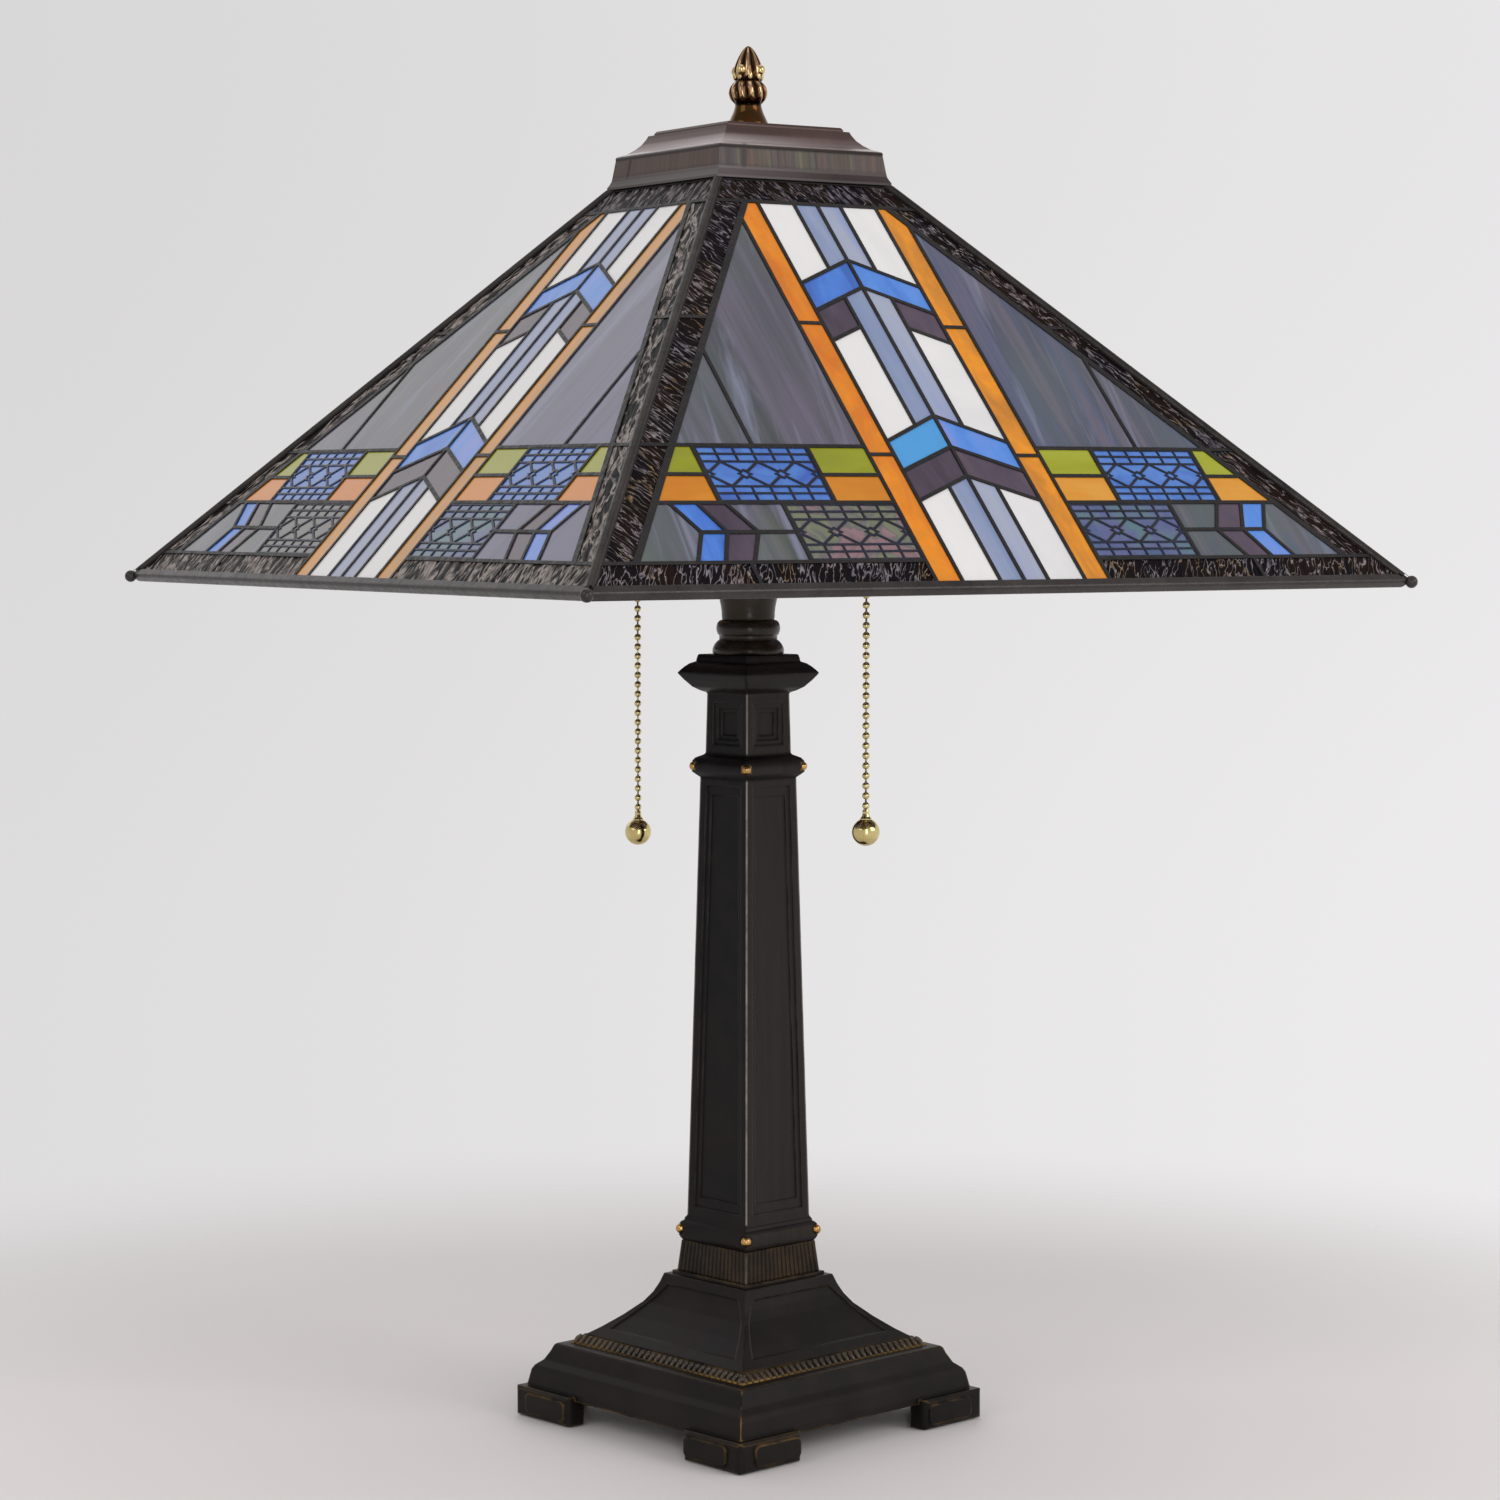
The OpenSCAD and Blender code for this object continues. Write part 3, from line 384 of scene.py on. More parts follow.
def brushed_cap():
    """Brown bronze sheet: a smooth hollow roof over a band brushed downwards, its corners run with solder; a
    painted sheen on the roof's low part, painted shade along the lip and the bead.
    """
    n = Material("cap_patina")
    u, v, flat, left, right = n.face()
    z = n.xyz(n.coords())[2]
    band = n.between(z, [CAP_BAND], 0.0012)
    streak = n.noise(n.coords((420, 5, 1), source=flat), 1.0, 4.0, 0.68)
    wide = n.noise(n.coords((90, 3, 1), source=flat), 1.0, 2.0, 0.5)
    cloud = n.noise(n.coords(), 46.0, 4.0, 0.6)
    base = n.mix(n.grey(cloud, 0.35, 0.7), lin(84, 68, 66), lin(104, 84, 80))
    # painted sheen: the low part of the hollow roof is painted paler, most of all by the front corner
    low = n.grey(z, *ROOF_PALE, 1.0, 0.0)
    near = n.math("MAXIMUM", n.times(right, n.grey(u, -0.04, 0.015, 0.75, 0.1)),
                  n.times(left, n.grey(u, -0.045, 0.02, 0.3, 0.65)))
    base = n.mix(n.times(low, near), base, lin(190, 178, 178))
    # the band's ground colour, and painted shade darkening the roof toward its top
    base = n.mix(n.math("MAXIMUM", band, n.grey(z, *ROOF_TOP)), base, lin(78, 62, 58))
    lines = n.ramp(n.grey(wide, 0.3, 0.7), [
        (0.0, lin(98, 72, 60)), (0.3, lin(88, 80, 66)), (0.45, lin(106, 100, 76)), (0.6, lin(78, 74, 74)),
        (1.0, lin(104, 76, 64))])
    lines = n.mix(n.grey(streak, 0.32, 0.68), lin(48, 38, 34), lines)
    base = n.mix(n.times(band, n.minus(1.0, n.times(left, 0.7))), base, lines)
    # painted shade along the lip and under the bead, and dark solder where the corners were soldered
    edges = n.math("MAXIMUM", n.grey(z, *CAP_LIP, 1.0, 0.0), n.between(z, [CAP_BEAD], 0.0006))
    soldered = n.corners([CAP_CORNERS], 0.0009, 0.0022)
    base = n.mix(n.times(n.math("MAXIMUM", edges, soldered), 0.8), base, lin(30, 23, 22))
    n.set(
        Base_Color=base,
        Metallic=n.times(n.grey(z, *CAP_ROOF), 0.5),
        Roughness=n.grey(cloud, 0.3, 0.7, 0.26, 0.34),
        Normal=n.bump(n.times(streak, band), 0.12, 0.0002),
        Specular_IOR_Level=0.2,
    )
    return n.mat


def solder(name, dark, light, rough=0.42, lumps=0.5, seam=False):
    """Hand-run solder under a dark patina; a seam is lumpier."""
    n = Material(name)
    c = n.coords()
    lump = n.noise(c, 260.0, 3.0, 0.55)
    cloud = n.noise(c, 34.0, 4.0, 0.6)
    base = n.mix(n.grey(cloud, 0.35, 0.7), dark, light)
    base = n.mix(n.grey(n.noise(c, 150.0, 2.0, 0.5), 0.56, 0.78, 0.0, 0.5), base, lin(18, 15, 15))
    height = lump
    if seam:
        height = n.plus(n.times(n.noise(c, 90.0, 2.0, 0.5), 1.5), n.times(lump, 0.5))
    n.set(
        Base_Color=base,
        Metallic=0.15,
        Roughness=n.grey(lump, 0.3, 0.7, rough - 0.08, rough + 0.1),
        Normal=n.bump(height, lumps, 0.0009, n.rounded(0.0005)),
        Specular_IOR_Level=0.35,
    )
    return n.mat


def plated(name, a, b, rough=0.32):
    """Plain plated metal with faint turning marks."""
    n = Material(name)
    marks = n.noise(n.coords((1, 1, 12)), 90.0, 4.0, 0.6)
    n.set(
        Base_Color=n.mix(n.grey(marks, 0.3, 0.7), a, b),
        Metallic=0.95,
        Roughness=n.grey(n.noise(n.coords(), 300.0), 0.3, 0.7, rough - 0.06, rough + 0.08),
        Normal=n.bump(marks, 0.15, 0.0002),
    )
    return n.mat


def dull(name, a, b, rough=0.5, grain=500.0, bumps=0.25):
    """A matt, grainy stuff: raw iron, felt or moulding."""
    n = Material(name)
    c = n.coords()
    g = n.noise(c, grain, 4.0, 0.6)
    n.set(
        Base_Color=n.mix(n.grey(n.noise(c, 40.0), 0.3, 0.7), a, b),
        Roughness=n.grey(g, 0.3, 0.7, rough - 0.06, rough + 0.06),
        Normal=n.bump(g, bumps, 0.0002),
    )
    return n.mat


# ---------------------------------------------------------------- glass

# the rippled border: heights up a face where its lower strip ends and its upper strip starts
LOWER_STRIP, UPPER_STRIP = 0.0155, 0.2215
# the middle chevron's span up a face
CHEVRON = (0.05, 0.12)


def streaky(name, stops, streak=(26, 5), wisps=(90, 14), warp=1.2, spread=0.3, rough=0.13, ripple=0.22,
            left=None, mottled=0.0, panes=None):
    """Opalescent sheet glass: colour drawn out in streaks, another part of the sheet in each half of a face.
    left gives the colour of a painted sheen on the camera's left face and how far that face leans to it;
    panes changes the colour by place."""
    n = Material(name)
    u, v, flat, on_left, on_right = n.face()
    at = n.own_part(flat)
    wide = n.noise(n.coords((streak[0], streak[1], 1), source=at), 1.0, 3.0, 0.55, warp)
    fine = n.noise(n.coords((wisps[0], wisps[1], 1), source=at), 1.0, 4.0, 0.6, warp * 0.6)
    fac = n.plus(n.times(wide, 0.72), n.times(fine, 0.28))
    fac = n.plus(fac, n.times(n.minus(n.half_face(), 0.5), spread))
    base = n.ramp(n.grey(fac, 0.28, 0.74), stops)
    if mottled:
        spots = n.noise(n.coords((170, 150, 1), source=at), 1.0, 2.0, 0.5)
        base = n.mix(n.times(n.grey(spots, 0.42, 0.62), mottled), base, stops[-1][1])
    if panes:
        base = panes(n, base, u, v, on_left, on_right, wide)
    # painted sheen: the camera's left face leans toward the given colour
    if left:
        base = n.mix(n.times(on_left, left[1]), base, left[0])
    wave = n.noise(n.coords((42, 30, 1), source=at), 1.0, 2.0, 0.5)
    n.set(
        Base_Color=base,
        Roughness=n.grey(fine, 0.3, 0.7, rough - 0.04, rough + 0.06),
        Normal=n.bump(n.plus(wave, n.times(fine, 0.12)), ripple, 0.0010),
        IOR=1.52,
        Coat_Weight=0.15,
        Coat_Roughness=0.06,
    )
    return n.mat


def teal_panes(n, base, u, v, on_left, on_right, wide):
    """The lower screened panes: clouded grey and rose left of the middle, slate blue right of it; on the left
    face, the half left of the middle takes a painted grey sheen."""
    cloudy = n.ramp(n.grey(wide, 0.3, 0.7), [
        (0.0, lin(84, 80, 84)), (0.3, lin(140, 108, 114)), (0.5, lin(98, 96, 98)), (0.72, lin(116, 120, 92)),
        (1.0, lin(92, 92, 96))])
    left_half = n.below(u, 0.0)
    base = n.mix(n.times(on_right, left_half), base, cloudy)
    # painted sheen: grey over the left face's half left of the middle
    return n.mix(n.times(on_left, left_half), base, lin(104, 103, 101))


def slate_panes(n, base, u, v, on_left, on_right, wide):
    """Pale and bluish brush strokes down the slope, with greenish and violet clouds."""
    flat = n.vector(u, v, n.half_face())
    cloud = n.noise(n.coords((15, 7, 6), source=flat), 1.0, 2.0, 0.5)
    base = n.mix(n.grey(cloud, 0.5, 0.66, 0.0, 0.55), base, lin(86, 98, 98))
    base = n.mix(n.grey(cloud, 0.34, 0.46, 0.6, 0.0), base, lin(102, 92, 116))
    moss = n.noise(n.coords((22, 12, 6), source=flat), 1.0, 2.0, 0.5)
    base = n.mix(n.grey(moss, 0.58, 0.7, 0.0, 0.4), base, lin(88, 104, 72))
    # on the left face a painted grey sheen lies over the sheet, which turns violet by the front hip
    violet = n.times(on_left, n.grey(n.plus(u, n.times(cloud, 0.06)), 0.02, 0.12))
    base = n.mix(n.times(on_left, 0.4), base, lin(100, 101, 94))
    base = n.mix(n.times(violet, 0.7), base, lin(104, 101, 134))
    leaning = n.coords((1, 1, 1), (0, 0, 0.14), source=flat)
    stroke = n.noise(n.coords((75, 6.5, 9), source=leaning), 1.0, 4.0, 0.62, 0.7)
    base = n.mix(n.grey(stroke, 0.53, 0.70, 0.0, 0.6), base, lin(134, 138, 164))
    return n.mix(n.grey(stroke, 0.30, 0.44, 0.5, 0.0), base, lin(74, 78, 96))


def blue_panes(n, base, u, v, on_left, on_right, wide):
    """The middle chevron's left half on the right face is a greener blue."""
    at_chevron = n.times(n.below(v, CHEVRON[1]), n.above(v, CHEVRON[0]))
    left_half = n.times(at_chevron, n.below(u, 0.0))
    return n.mix(n.times(n.times(left_half, on_right), 0.8), base, lin(72, 158, 214))


def ridge_lean(n, u, v, on_right):
    """The angle at which the ripple's ridges lean, which differs from strip to strip, and 1 or 0 for the
    strip under the cap."""
    plus = n.above(u, 0.0)
    hip = n.times(n.minus(0.5, plus), math.radians(68))
    crossing = n.times(on_right, n.minus(1.0, plus))
    hip = n.minus(hip, n.times(crossing, math.radians(74)))
    low, top = n.below(v, LOWER_STRIP), n.above(v, UPPER_STRIP)
    by_hips = n.minus(1.0, n.plus(low, top))
    low_lean = n.plus(math.radians(-8), n.times(on_right, math.radians(38)))
    top_lean = n.plus(math.radians(-6), n.times(on_right, math.radians(-22)))
    strips = n.plus(n.times(low, low_lean), n.times(top, top_lean))
    return n.plus(n.times(by_hips, hip), strips), top


def ripple_glass():
    """Dark, deeply rippled glass with painted glints along its ridge tops."""
    n = Material("ripple_glass")
    u, v, flat, on_left, on_right = n.face()
    lean, top = ridge_lean(n, u, v, on_right)
    c, s = n.math("COSINE", lean), n.math("SINE", lean)
    across = n.minus(n.times(u, c), n.times(v, s))
    along = n.plus(n.times(u, s), n.times(v, c))
    # the ridges waver as they run, and stand wider apart on the left face
    swing = n.noise(n.coords((95, 95, 1), source=flat), 1.0, 2.0, 0.5)
    across = n.plus(across, n.times(n.minus(swing, 0.5), 0.0042))
    per_metre = n.minus(400, n.times(on_left, 130))
    at = n.vector(n.times(across, per_metre), n.times(along, 78), n.times(n.half_face(), 40))
    ridges = n.noise(at, 1.0, 2.0, 0.55, 0.5)
    line_width = n.plus(0.036, n.times(on_left, 0.05))
    line = n.grey(n.math("ABSOLUTE", n.minus(ridges, 0.5)), 0.005, line_width, 1.0, 0.0)
    broken = n.grey(n.noise(n.coords((260, 260, 1), source=flat), 1.0, 2.0, 0.5), 0.34, 0.56, 0.35, 1.0)
    tint = n.noise(n.coords((24, 18, 1), source=flat), 1.0, 2.0, 0.5)
    dark = n.ramp(n.grey(tint, 0.3, 0.7), [
        (0.0, lin(24, 15, 15)), (0.4, lin(17, 14, 18)), (0.7, lin(30, 20, 15)), (1.0, lin(22, 15, 20))])
    # painted glints: the pale colours along the ridge tops
    light = n.ramp(n.grey(tint, 0.32, 0.68), [
        (0.0, lin(196, 180, 180)), (0.32, lin(168, 164, 178)), (0.45, lin(184, 172, 168)),
        (0.5, lin(190, 150, 92)), (0.55, lin(186, 172, 168)), (0.75, lin(180, 166, 170)),
        (1.0, lin(190, 186, 194))])
    # painted glints dimmed by half; the left face takes its own painted glints and a near-black ground, the
    # strip under the cap violet glints
    light = n.mix(0.5, light, lin(72, 65, 68))
    light = n.mix(n.times(on_left, 0.9), light, lin(176, 165, 158))
    light = n.mix(n.times(top, 0.5), light, lin(104, 98, 118))
    dark = n.mix(n.times(on_left, 0.7), dark, lin(17, 16, 17))
    n.set(
        Base_Color=n.mix(n.times(line, n.times(broken, 0.9)), dark, light),
        Roughness=0.24,
        Normal=n.bump(n.plus(n.grey(ridges, 0.3, 0.7), n.times(line, 0.5)), 0.45, 0.0011),
        Specular_IOR_Level=0.03,
    )
    return n.mat


def frosted_bulb():
    n = Material("frosted_bulb")
    g = n.noise(n.coords(), 240.0)
    n.set(
        Base_Color=n.mix(n.grey(g, 0.3, 0.7), lin(236, 234, 228), lin(224, 222, 216)),
        Roughness=n.grey(g, 0.3, 0.7, 0.36, 0.44),
        Normal=n.bump(g, 0.1, 0.0002),
        Transmission_Weight=0.25,
    )
    return n.mat


# ---------------------------------------------------------------- the finial's metal

# the finial stands on the cap plate; its bulb's gadroons twist by so many radians a millimetre about BULB_Z
PLATE_TOP = 573.55
GADROONS, LEAVES, FINIAL_TWIST, BULB_Z = 11, 8, 0.02, 16
# spans above the plate in metres: bulb, bud, and on the foot a painted highlight ring and painted shade in a
# groove and at the neck
BULB_SPAN, BUD_SPAN = (0.0122, 0.0204), (0.0225, 0.0355)
RING_SPAN, GROOVE_SPAN, NECK_SPAN = (0.0004, 0.0013), (0.0018, 0.0022), (0.0104, 0.0112)
FOOT_END = (0.0114, 0.0122)


def finial_metal():
    """Polished antique brass: painted highlights along its ridges, painted shade near black in its flutes and
    hollows, dark brown on the foot.
    """
    n = Material("finial_brass")
    c = n.coords()
    x, y, z = n.xyz(c)
    up = n.minus(z, PLATE_TOP * MM)
    around = n.math("ARCTAN2", y, x)
    turn = n.plus(around, n.times(n.minus(up, BULB_Z * MM), FINIAL_TWIST / MM))
    lobe = n.math("ABSOLUTE", n.math("COSINE", n.times(turn, GADROONS / 2)))
    leaf = n.math("ABSOLUTE", n.math("COSINE", n.times(around, LEAVES / 2)))
    patch = n.noise(c, 120.0, 3.0, 0.6)
    ridge = n.plus(n.times(lobe, n.between(up, [BULB_SPAN])), n.times(leaf, n.between(up, [BUD_SPAN])))
    ridge = n.plus(ridge, n.grey(patch, 0.3, 0.7, -0.1, 0.1))
    # painted light: near black in the flutes, a painted highlight along each ridge's crest
    cast = n.ramp(ridge, [
        (0.0, lin(30, 19, 11)), (0.45, lin(60, 39, 24)), (0.7, lin(98, 69, 44)), (0.87, lin(140, 106, 74)),
        (0.95, lin(214, 186, 146)), (1.0, lin(160, 124, 88))])
    foot = n.mix(n.grey(patch, 0.35, 0.65), lin(74, 58, 30), lin(92, 54, 30))
    # painted highlight ring round the foot, painted shade in its groove and at the neck
    foot = n.mix(n.between(up, [RING_SPAN], 0.0003), foot, lin(230, 200, 140))
    foot = n.mix(n.between(up, [GROOVE_SPAN], 0.0004), foot, lin(24, 16, 9))
    foot = n.mix(n.between(up, [NECK_SPAN], 0.0006), foot, lin(20, 13, 8))
    base = n.mix(n.grey(up, *FOOT_END), foot, cast)
    # painted shade: near black deep in the hollows
    n.set(
        Base_Color=n.mix(n.times(n.hollows(0.002), 0.6), base, lin(10, 6, 4)),
        Metallic=1.0,
        Roughness=n.grey(patch, 0.3, 0.7, 0.1, 0.18),
        Normal=n.bump(patch, 0.04, 0.0002),
    )
    return n.mat


# ---------------------------------------------------------------- every material and the parts it goes on

MATS = {
    "bronze": bronze("dark_bronze", lin(18, 15, 14), lin(32, 26, 22), lin(150, 118, 66), 0.0013, 1.0,
                     rubbed=PLINTH_EDGES, calm=PLINTH_SLOPE),
    # shaft: a painted highlight down its corners and a painted lighter side toward the camera's right
    "shaft": bronze("shaft_bronze", lin(14, 13, 14), lin(28, 23, 21), lin(82, 76, 76), amount=0.7, rough=0.32,
                    shine=0.12, soft=0.0018, corner=0.95, spans=SHAFT_CORNERS, east=lin(43, 38, 35),
                    spots=UPPER_STUDS),
    # fluted band: a fainter painted highlight down its corners
    "bronze_gold": bronze("rubbed_bronze", lin(28, 22, 18), lin(52, 40, 27), lin(132, 106, 66), 0.0006, 1.0,
                          0.34, corner=0.3, spans=BAND_CORNERS),
    "rope": bronze("rope_bronze", lin(52, 43, 33), lin(88, 74, 57), lin(130, 110, 80), 0.0005, 0.5, 0.26,
                   0.45),
    "cup": bronze("neck_bronze", lin(36, 28, 17), lin(54, 43, 27), lin(130, 110, 80), 0.001, 0.5, 0.3, 0.22),
    "ring": bronze("ring_bronze", lin(30, 23, 14), lin(46, 36, 22), lin(120, 98, 68), 0.001, 0.5, 0.26, 0.3),
    "cap": brushed_cap(),
    "lead": solder("lead_line", lin(18, 15, 15), lin(34, 29, 28), 0.42, 0.6),
    "seam": solder("hip_seam", lin(27, 22, 21), lin(50, 42, 38), 0.36, 0.6, True),
    "rim": solder("rim_metal", lin(38, 33, 33), lin(58, 52, 50), 0.28, 0.1),
    "screen": solder("pressed_screen", lin(20, 22, 38), lin(34, 38, 60), 0.3, 0.1),
    "stud": brass("stud_brass", lin(206, 168, 104), lin(160, 120, 66), 0.24),
    "chain": brass("chain_brass", lin(214, 200, 150), lin(190, 172, 118), 0.14, 0.55),
    "knob": brass("knob_brass", lin(218, 202, 146), lin(196, 176, 112), 0.15, 0.3, 60.0, 0.03),
    "finial": finial_metal(),
    "scroll": brass("scroll_brass", lin(226, 204, 150), lin(170, 140, 88), 0.12, 0.8, 120.0, 0.04),
    "fitting": brass("fitting_brass", lin(150, 120, 66), lin(120, 92, 50), 0.3),
    "steel": plated("zinc_plate", lin(176, 168, 140), lin(140, 132, 108)),
    "spun": plated("spun_aluminium", lin(206, 206, 200), lin(186, 186, 182), 0.26),
    "iron": dull("raw_iron", lin(58, 54, 50), lin(76, 70, 64), 0.6, 260.0, 0.6),
    "felt": dull("felt", lin(30, 42, 34), lin(42, 56, 46), 0.95, 900.0, 0.9),
    "plastic": dull("bushing_plastic", lin(20, 20, 20), lin(28, 27, 26)),
    "phenolic": dull("brown_moulding", lin(56, 38, 28), lin(40, 26, 18), 0.36),
    "bulb": frosted_bulb(),
    "ripple": ripple_glass(),
    "white": streaky("white_glass", [(0, lin(222, 220, 219)), (0.6, lin(228, 226, 225)),
                                     (1, lin(214, 213, 214))], (14, 8), (60, 30), 0.8, 0.1),
    "lilac": streaky("lilac_glass", [(0, lin(122, 136, 172)), (0.35, lin(142, 154, 184)),
                                     (0.7, lin(160, 166, 186)), (1, lin(136, 150, 190))],
                     (22, 5), (110, 12), left=(lin(140, 146, 176), 0.5)),
    "orange": streaky("orange_glass", [(0, lin(208, 110, 0)), (0.35, lin(228, 132, 0)),
                                       (0.65, lin(234, 146, 6)), (1, lin(190, 120, 30))],
                      (40, 12), (120, 40), 1.6, mottled=0.3, left=(lin(184, 138, 70), 0.6)),
    "amber": streaky("amber_glass", [(0, lin(196, 118, 8)), (0.5, lin(210, 134, 16)), (1, lin(216, 150, 48))],
                     (12, 40), (40, 130), spread=0.4, left=(lin(208, 118, 36), 0.6)),
    "lime": streaky("lime_glass", [(0, lin(134, 138, 14)), (0.5, lin(152, 156, 12)), (1, lin(162, 166, 44))],
                    (10, 40), (40, 130), left=(lin(150, 150, 26), 0.6)),
    "blue": streaky("blue_glass", [(0, lin(50, 94, 176)), (0.35, lin(66, 118, 206)),
                                   (0.7, lin(84, 138, 218)), (1, lin(120, 140, 214))],
                    (34, 14), (120, 40), 1.4, panes=blue_panes),
    "purple": streaky("purple_glass", [(0, lin(58, 46, 62)), (0.5, lin(76, 62, 80)), (1, lin(92, 74, 84))],
                      (60, 20), (150, 60), 1.0, 0.2, left=(lin(92, 84, 88), 0.5)),
    "slate": streaky("slate_glass", [(0.0, lin(62, 68, 70)), (0.2, lin(82, 80, 90)), (0.38, lin(98, 92, 108)),
                                     (0.52, lin(72, 76, 92)), (0.64, lin(76, 84, 112)),
                                     (0.78, lin(98, 90, 108)), (1.0, lin(74, 68, 82))],
                     (44, 2.4), (150, 5), 0.9, 0.2, 0.1, 0.14, panes=slate_panes,
                     left=(lin(96, 96, 98), 0.12)),
    "sky": streaky("sky_glass", [(0, lin(56, 92, 176)), (0.5, lin(74, 120, 196)), (1, lin(96, 136, 204))],
                   (60, 60), (150, 150), 1.0, 0.1, left=(lin(104, 130, 190), 0.4)),
    "teal": streaky("teal_glass", [(0, lin(70, 100, 134)), (0.4, lin(60, 88, 124)), (0.7, lin(88, 92, 138)),
                                   (1, lin(84, 112, 124))], (60, 60), (150, 150), 1.0, 0.4, panes=teal_panes),
}

LOOKS = {
    "bronze": ["plinth_casting"],
    "shaft": ["column_casting", "capital_casting"],
    "bronze_gold": ["fluted_band"],
    "rope": ["rope_rail"],
    "cup": ["neck_cup"],
    "ring": ["neck_ring", "bead_ring"],
    "stud": ["corner_studs"],
    "cap": ["shade_cap", "cap_plate"],
    "lead": ["lead_front", "lead_right", "lead_back", "lead_left"],
    "seam": ["hip_beads"],
    "rim": ["rim_channels", "rim_balls"],
    "screen": ["screens"],
    "chain": ["stub_right", "stub_left", "chain_right", "chain_left"],
    "knob": ["bell_right", "bell_left", "knob_right", "knob_left"],
    "finial": ["finial"],
    "fitting": ["cluster_body", "cluster_arms", "socket_caps", "socket_shells", "socket_screws",
                "chain_guides", "finial_insert"],
    "steel": ["base_washer", "base_locknut", "lamp_pipe", "riser_rod", "riser_nut", "rest_disc"],
    "iron": ["base_weight"],
    "felt": ["felt_pads"],
    "plastic": ["cord_bushing"],
    "phenolic": ["socket_liners"],
    "spun": ["bulb_bases"],
    "bulb": ["bulb_glass"],
}
for look in ("ripple", "white", "lilac", "orange", "amber", "lime", "blue", "purple", "slate", "sky", "teal"):
    LOOKS[look] = ["glass_" + look]
for look, names in LOOKS.items():
    for name in names:
        for slot in NODES[name].material_slots:
            slot.material = MATS[look]


# ---------------------------------------------------------------- tools for finer pieces over the CAD

def new_piece(name, verts, faces, look, body, nodes):
    """A smooth-shaded mesh that stands for the named CAD nodes."""
    m = bpy.data.meshes.new(name)
    m.from_pydata(verts, [], faces)
    m.validate()
    for p in m.polygons:
        p.use_smooth = True
    m.materials.append(MATS[look])
    o = bpy.data.objects.new(name, m)
    scene.collection.objects.link(o)
    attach(o, body)
    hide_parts(*nodes)


def add_grid(verts, faces, rows, around):
    """Joins rows of points, each closed on itself, into a skin with both ends shut."""
    start = len(verts)
    for row in rows:
        verts += row
    for i in range(len(rows) - 1):
        for j in range(around):
            a, b = start + i * around + j, start + i * around + (j + 1) % around
            faces.append((a, b, b + around, a + around))
    faces.append(tuple(start + j for j in reversed(range(around))))
    last = start + (len(rows) - 1) * around
    faces.append(tuple(last + j for j in range(around)))


def add_ball(verts, faces, centre, radii, turn=None, around=20, rings=14):
    """An ellipsoid at centre, its radii given along its own axes before the turn."""
    rows = []
    for i in range(rings + 1):
        # the two end rings stay just off the poles
        t = -math.pi / 2 + (0.02 + 0.96 * i / rings) * math.pi
        row = []
        for j in range(around):
            a = 2 * math.pi * j / around
            p = Vector((radii[0] * math.cos(t) * math.cos(a), radii[1] * math.cos(t) * math.sin(a),
                        radii[2] * math.sin(t)))
            if turn:
                p = turn @ p
            row.append(tuple((Vector(centre) + p) * MM))
        rows.append(row)
    add_grid(verts, faces, rows, around)


def smooth_line(points, steps):
    """Points along a soft curve through the given ones."""
    out = []
    for i in range(len(points) - 1):
        p0, p1 = points[max(i - 1, 0)], points[i]
        p2, p3 = points[i + 1], points[min(i + 2, len(points) - 1)]
        for k in range(steps):
            t = k / steps
            out.append(tuple(0.5 * (2 * b + (c - a) * t + (2 * a - 5 * b + 4 * c - d) * t * t
                                    + (3 * b - a - 3 * c + d) * t ** 3)
                             for a, b, c, d in zip(p0, p1, p2, p3)))
    return out + [points[-1]]


def swell(z, lo, hi):
    """0 outside lo..hi, 1 in the middle, smooth between."""
    if not lo < z < hi:
        return 0.0
    return math.sin(math.pi * (z - lo) / (hi - lo)) ** 0.7


# ---------------------------------------------------------------- finial

# radius and height above the cap plate: flared foot, bulb, pointed bud
FINIAL_LINE = [(9.3, 0), (9.5, 0.7), (9.2, 1.3), (9.0, 1.9), (8.6, 3.2), (7.6, 5.4), (6.6, 7.6), (6.0, 9.6),
               (5.8, 10.9), (6.5, 11.7), (7.8, 13.1), (8.5, 15.0), (8.55, 16.6), (8.1, 18.3), (7.0, 19.9),
               (5.9, 21.0), (5.4, 21.6), (5.7, 22.2), (6.3, 23.3), (6.5, 25), (6.3, 26.6), (5.8, 28.2),
               (5.0, 30.2), (3.9, 32.4), (2.7, 34.3), (1.4, 35.8), (0.4, 36.4)]
FINIAL_AROUND = 176
# where the gadroons start and end, and the leaves, which fade out towards the tip above LEAF_FADE
BULB_LO, BULB_HI, BUD_LO, LEAF_FADE, BUD_TIP, BUD_HI = 11.2, 20.8, 22.0, 31, 36.6, 40.0
GADROON_DEPTH, LEAF_DEPTH = 0.17, 0.2
SCROLL_FIRST = CAM_AZ - math.pi / 2 + math.radians(60)


def cast_finial():
    """Flared foot, bulb with twisted gadroons and fluted bud."""
    rows = []
    for r, z in smooth_line(FINIAL_LINE, 6):
        on_bulb = swell(z, BULB_LO, BULB_HI)
        on_bud = swell(z, BUD_LO, BUD_HI if z < LEAF_FADE else BUD_TIP)
        row = []
        for j in range(FINIAL_AROUND):
            a = 2 * math.pi * j / FINIAL_AROUND
            lobe = abs(math.cos(GADROONS / 2 * (a + FINIAL_TWIST * (z - BULB_Z))))
            leaf = abs(math.cos(LEAVES / 2 * a))
            rr = r * (1 - GADROON_DEPTH * on_bulb * (1 - lobe) - LEAF_DEPTH * on_bud * (1 - leaf))
            row.append((rr * math.cos(a) * MM, rr * math.sin(a) * MM, (PLATE_TOP + z) * MM))
        rows.append(row)
    verts, faces = [], []
    add_grid(verts, faces, rows, FINIAL_AROUND)
    new_piece("finial_cast", verts, faces, "finial", "finial_top", ["finial"])


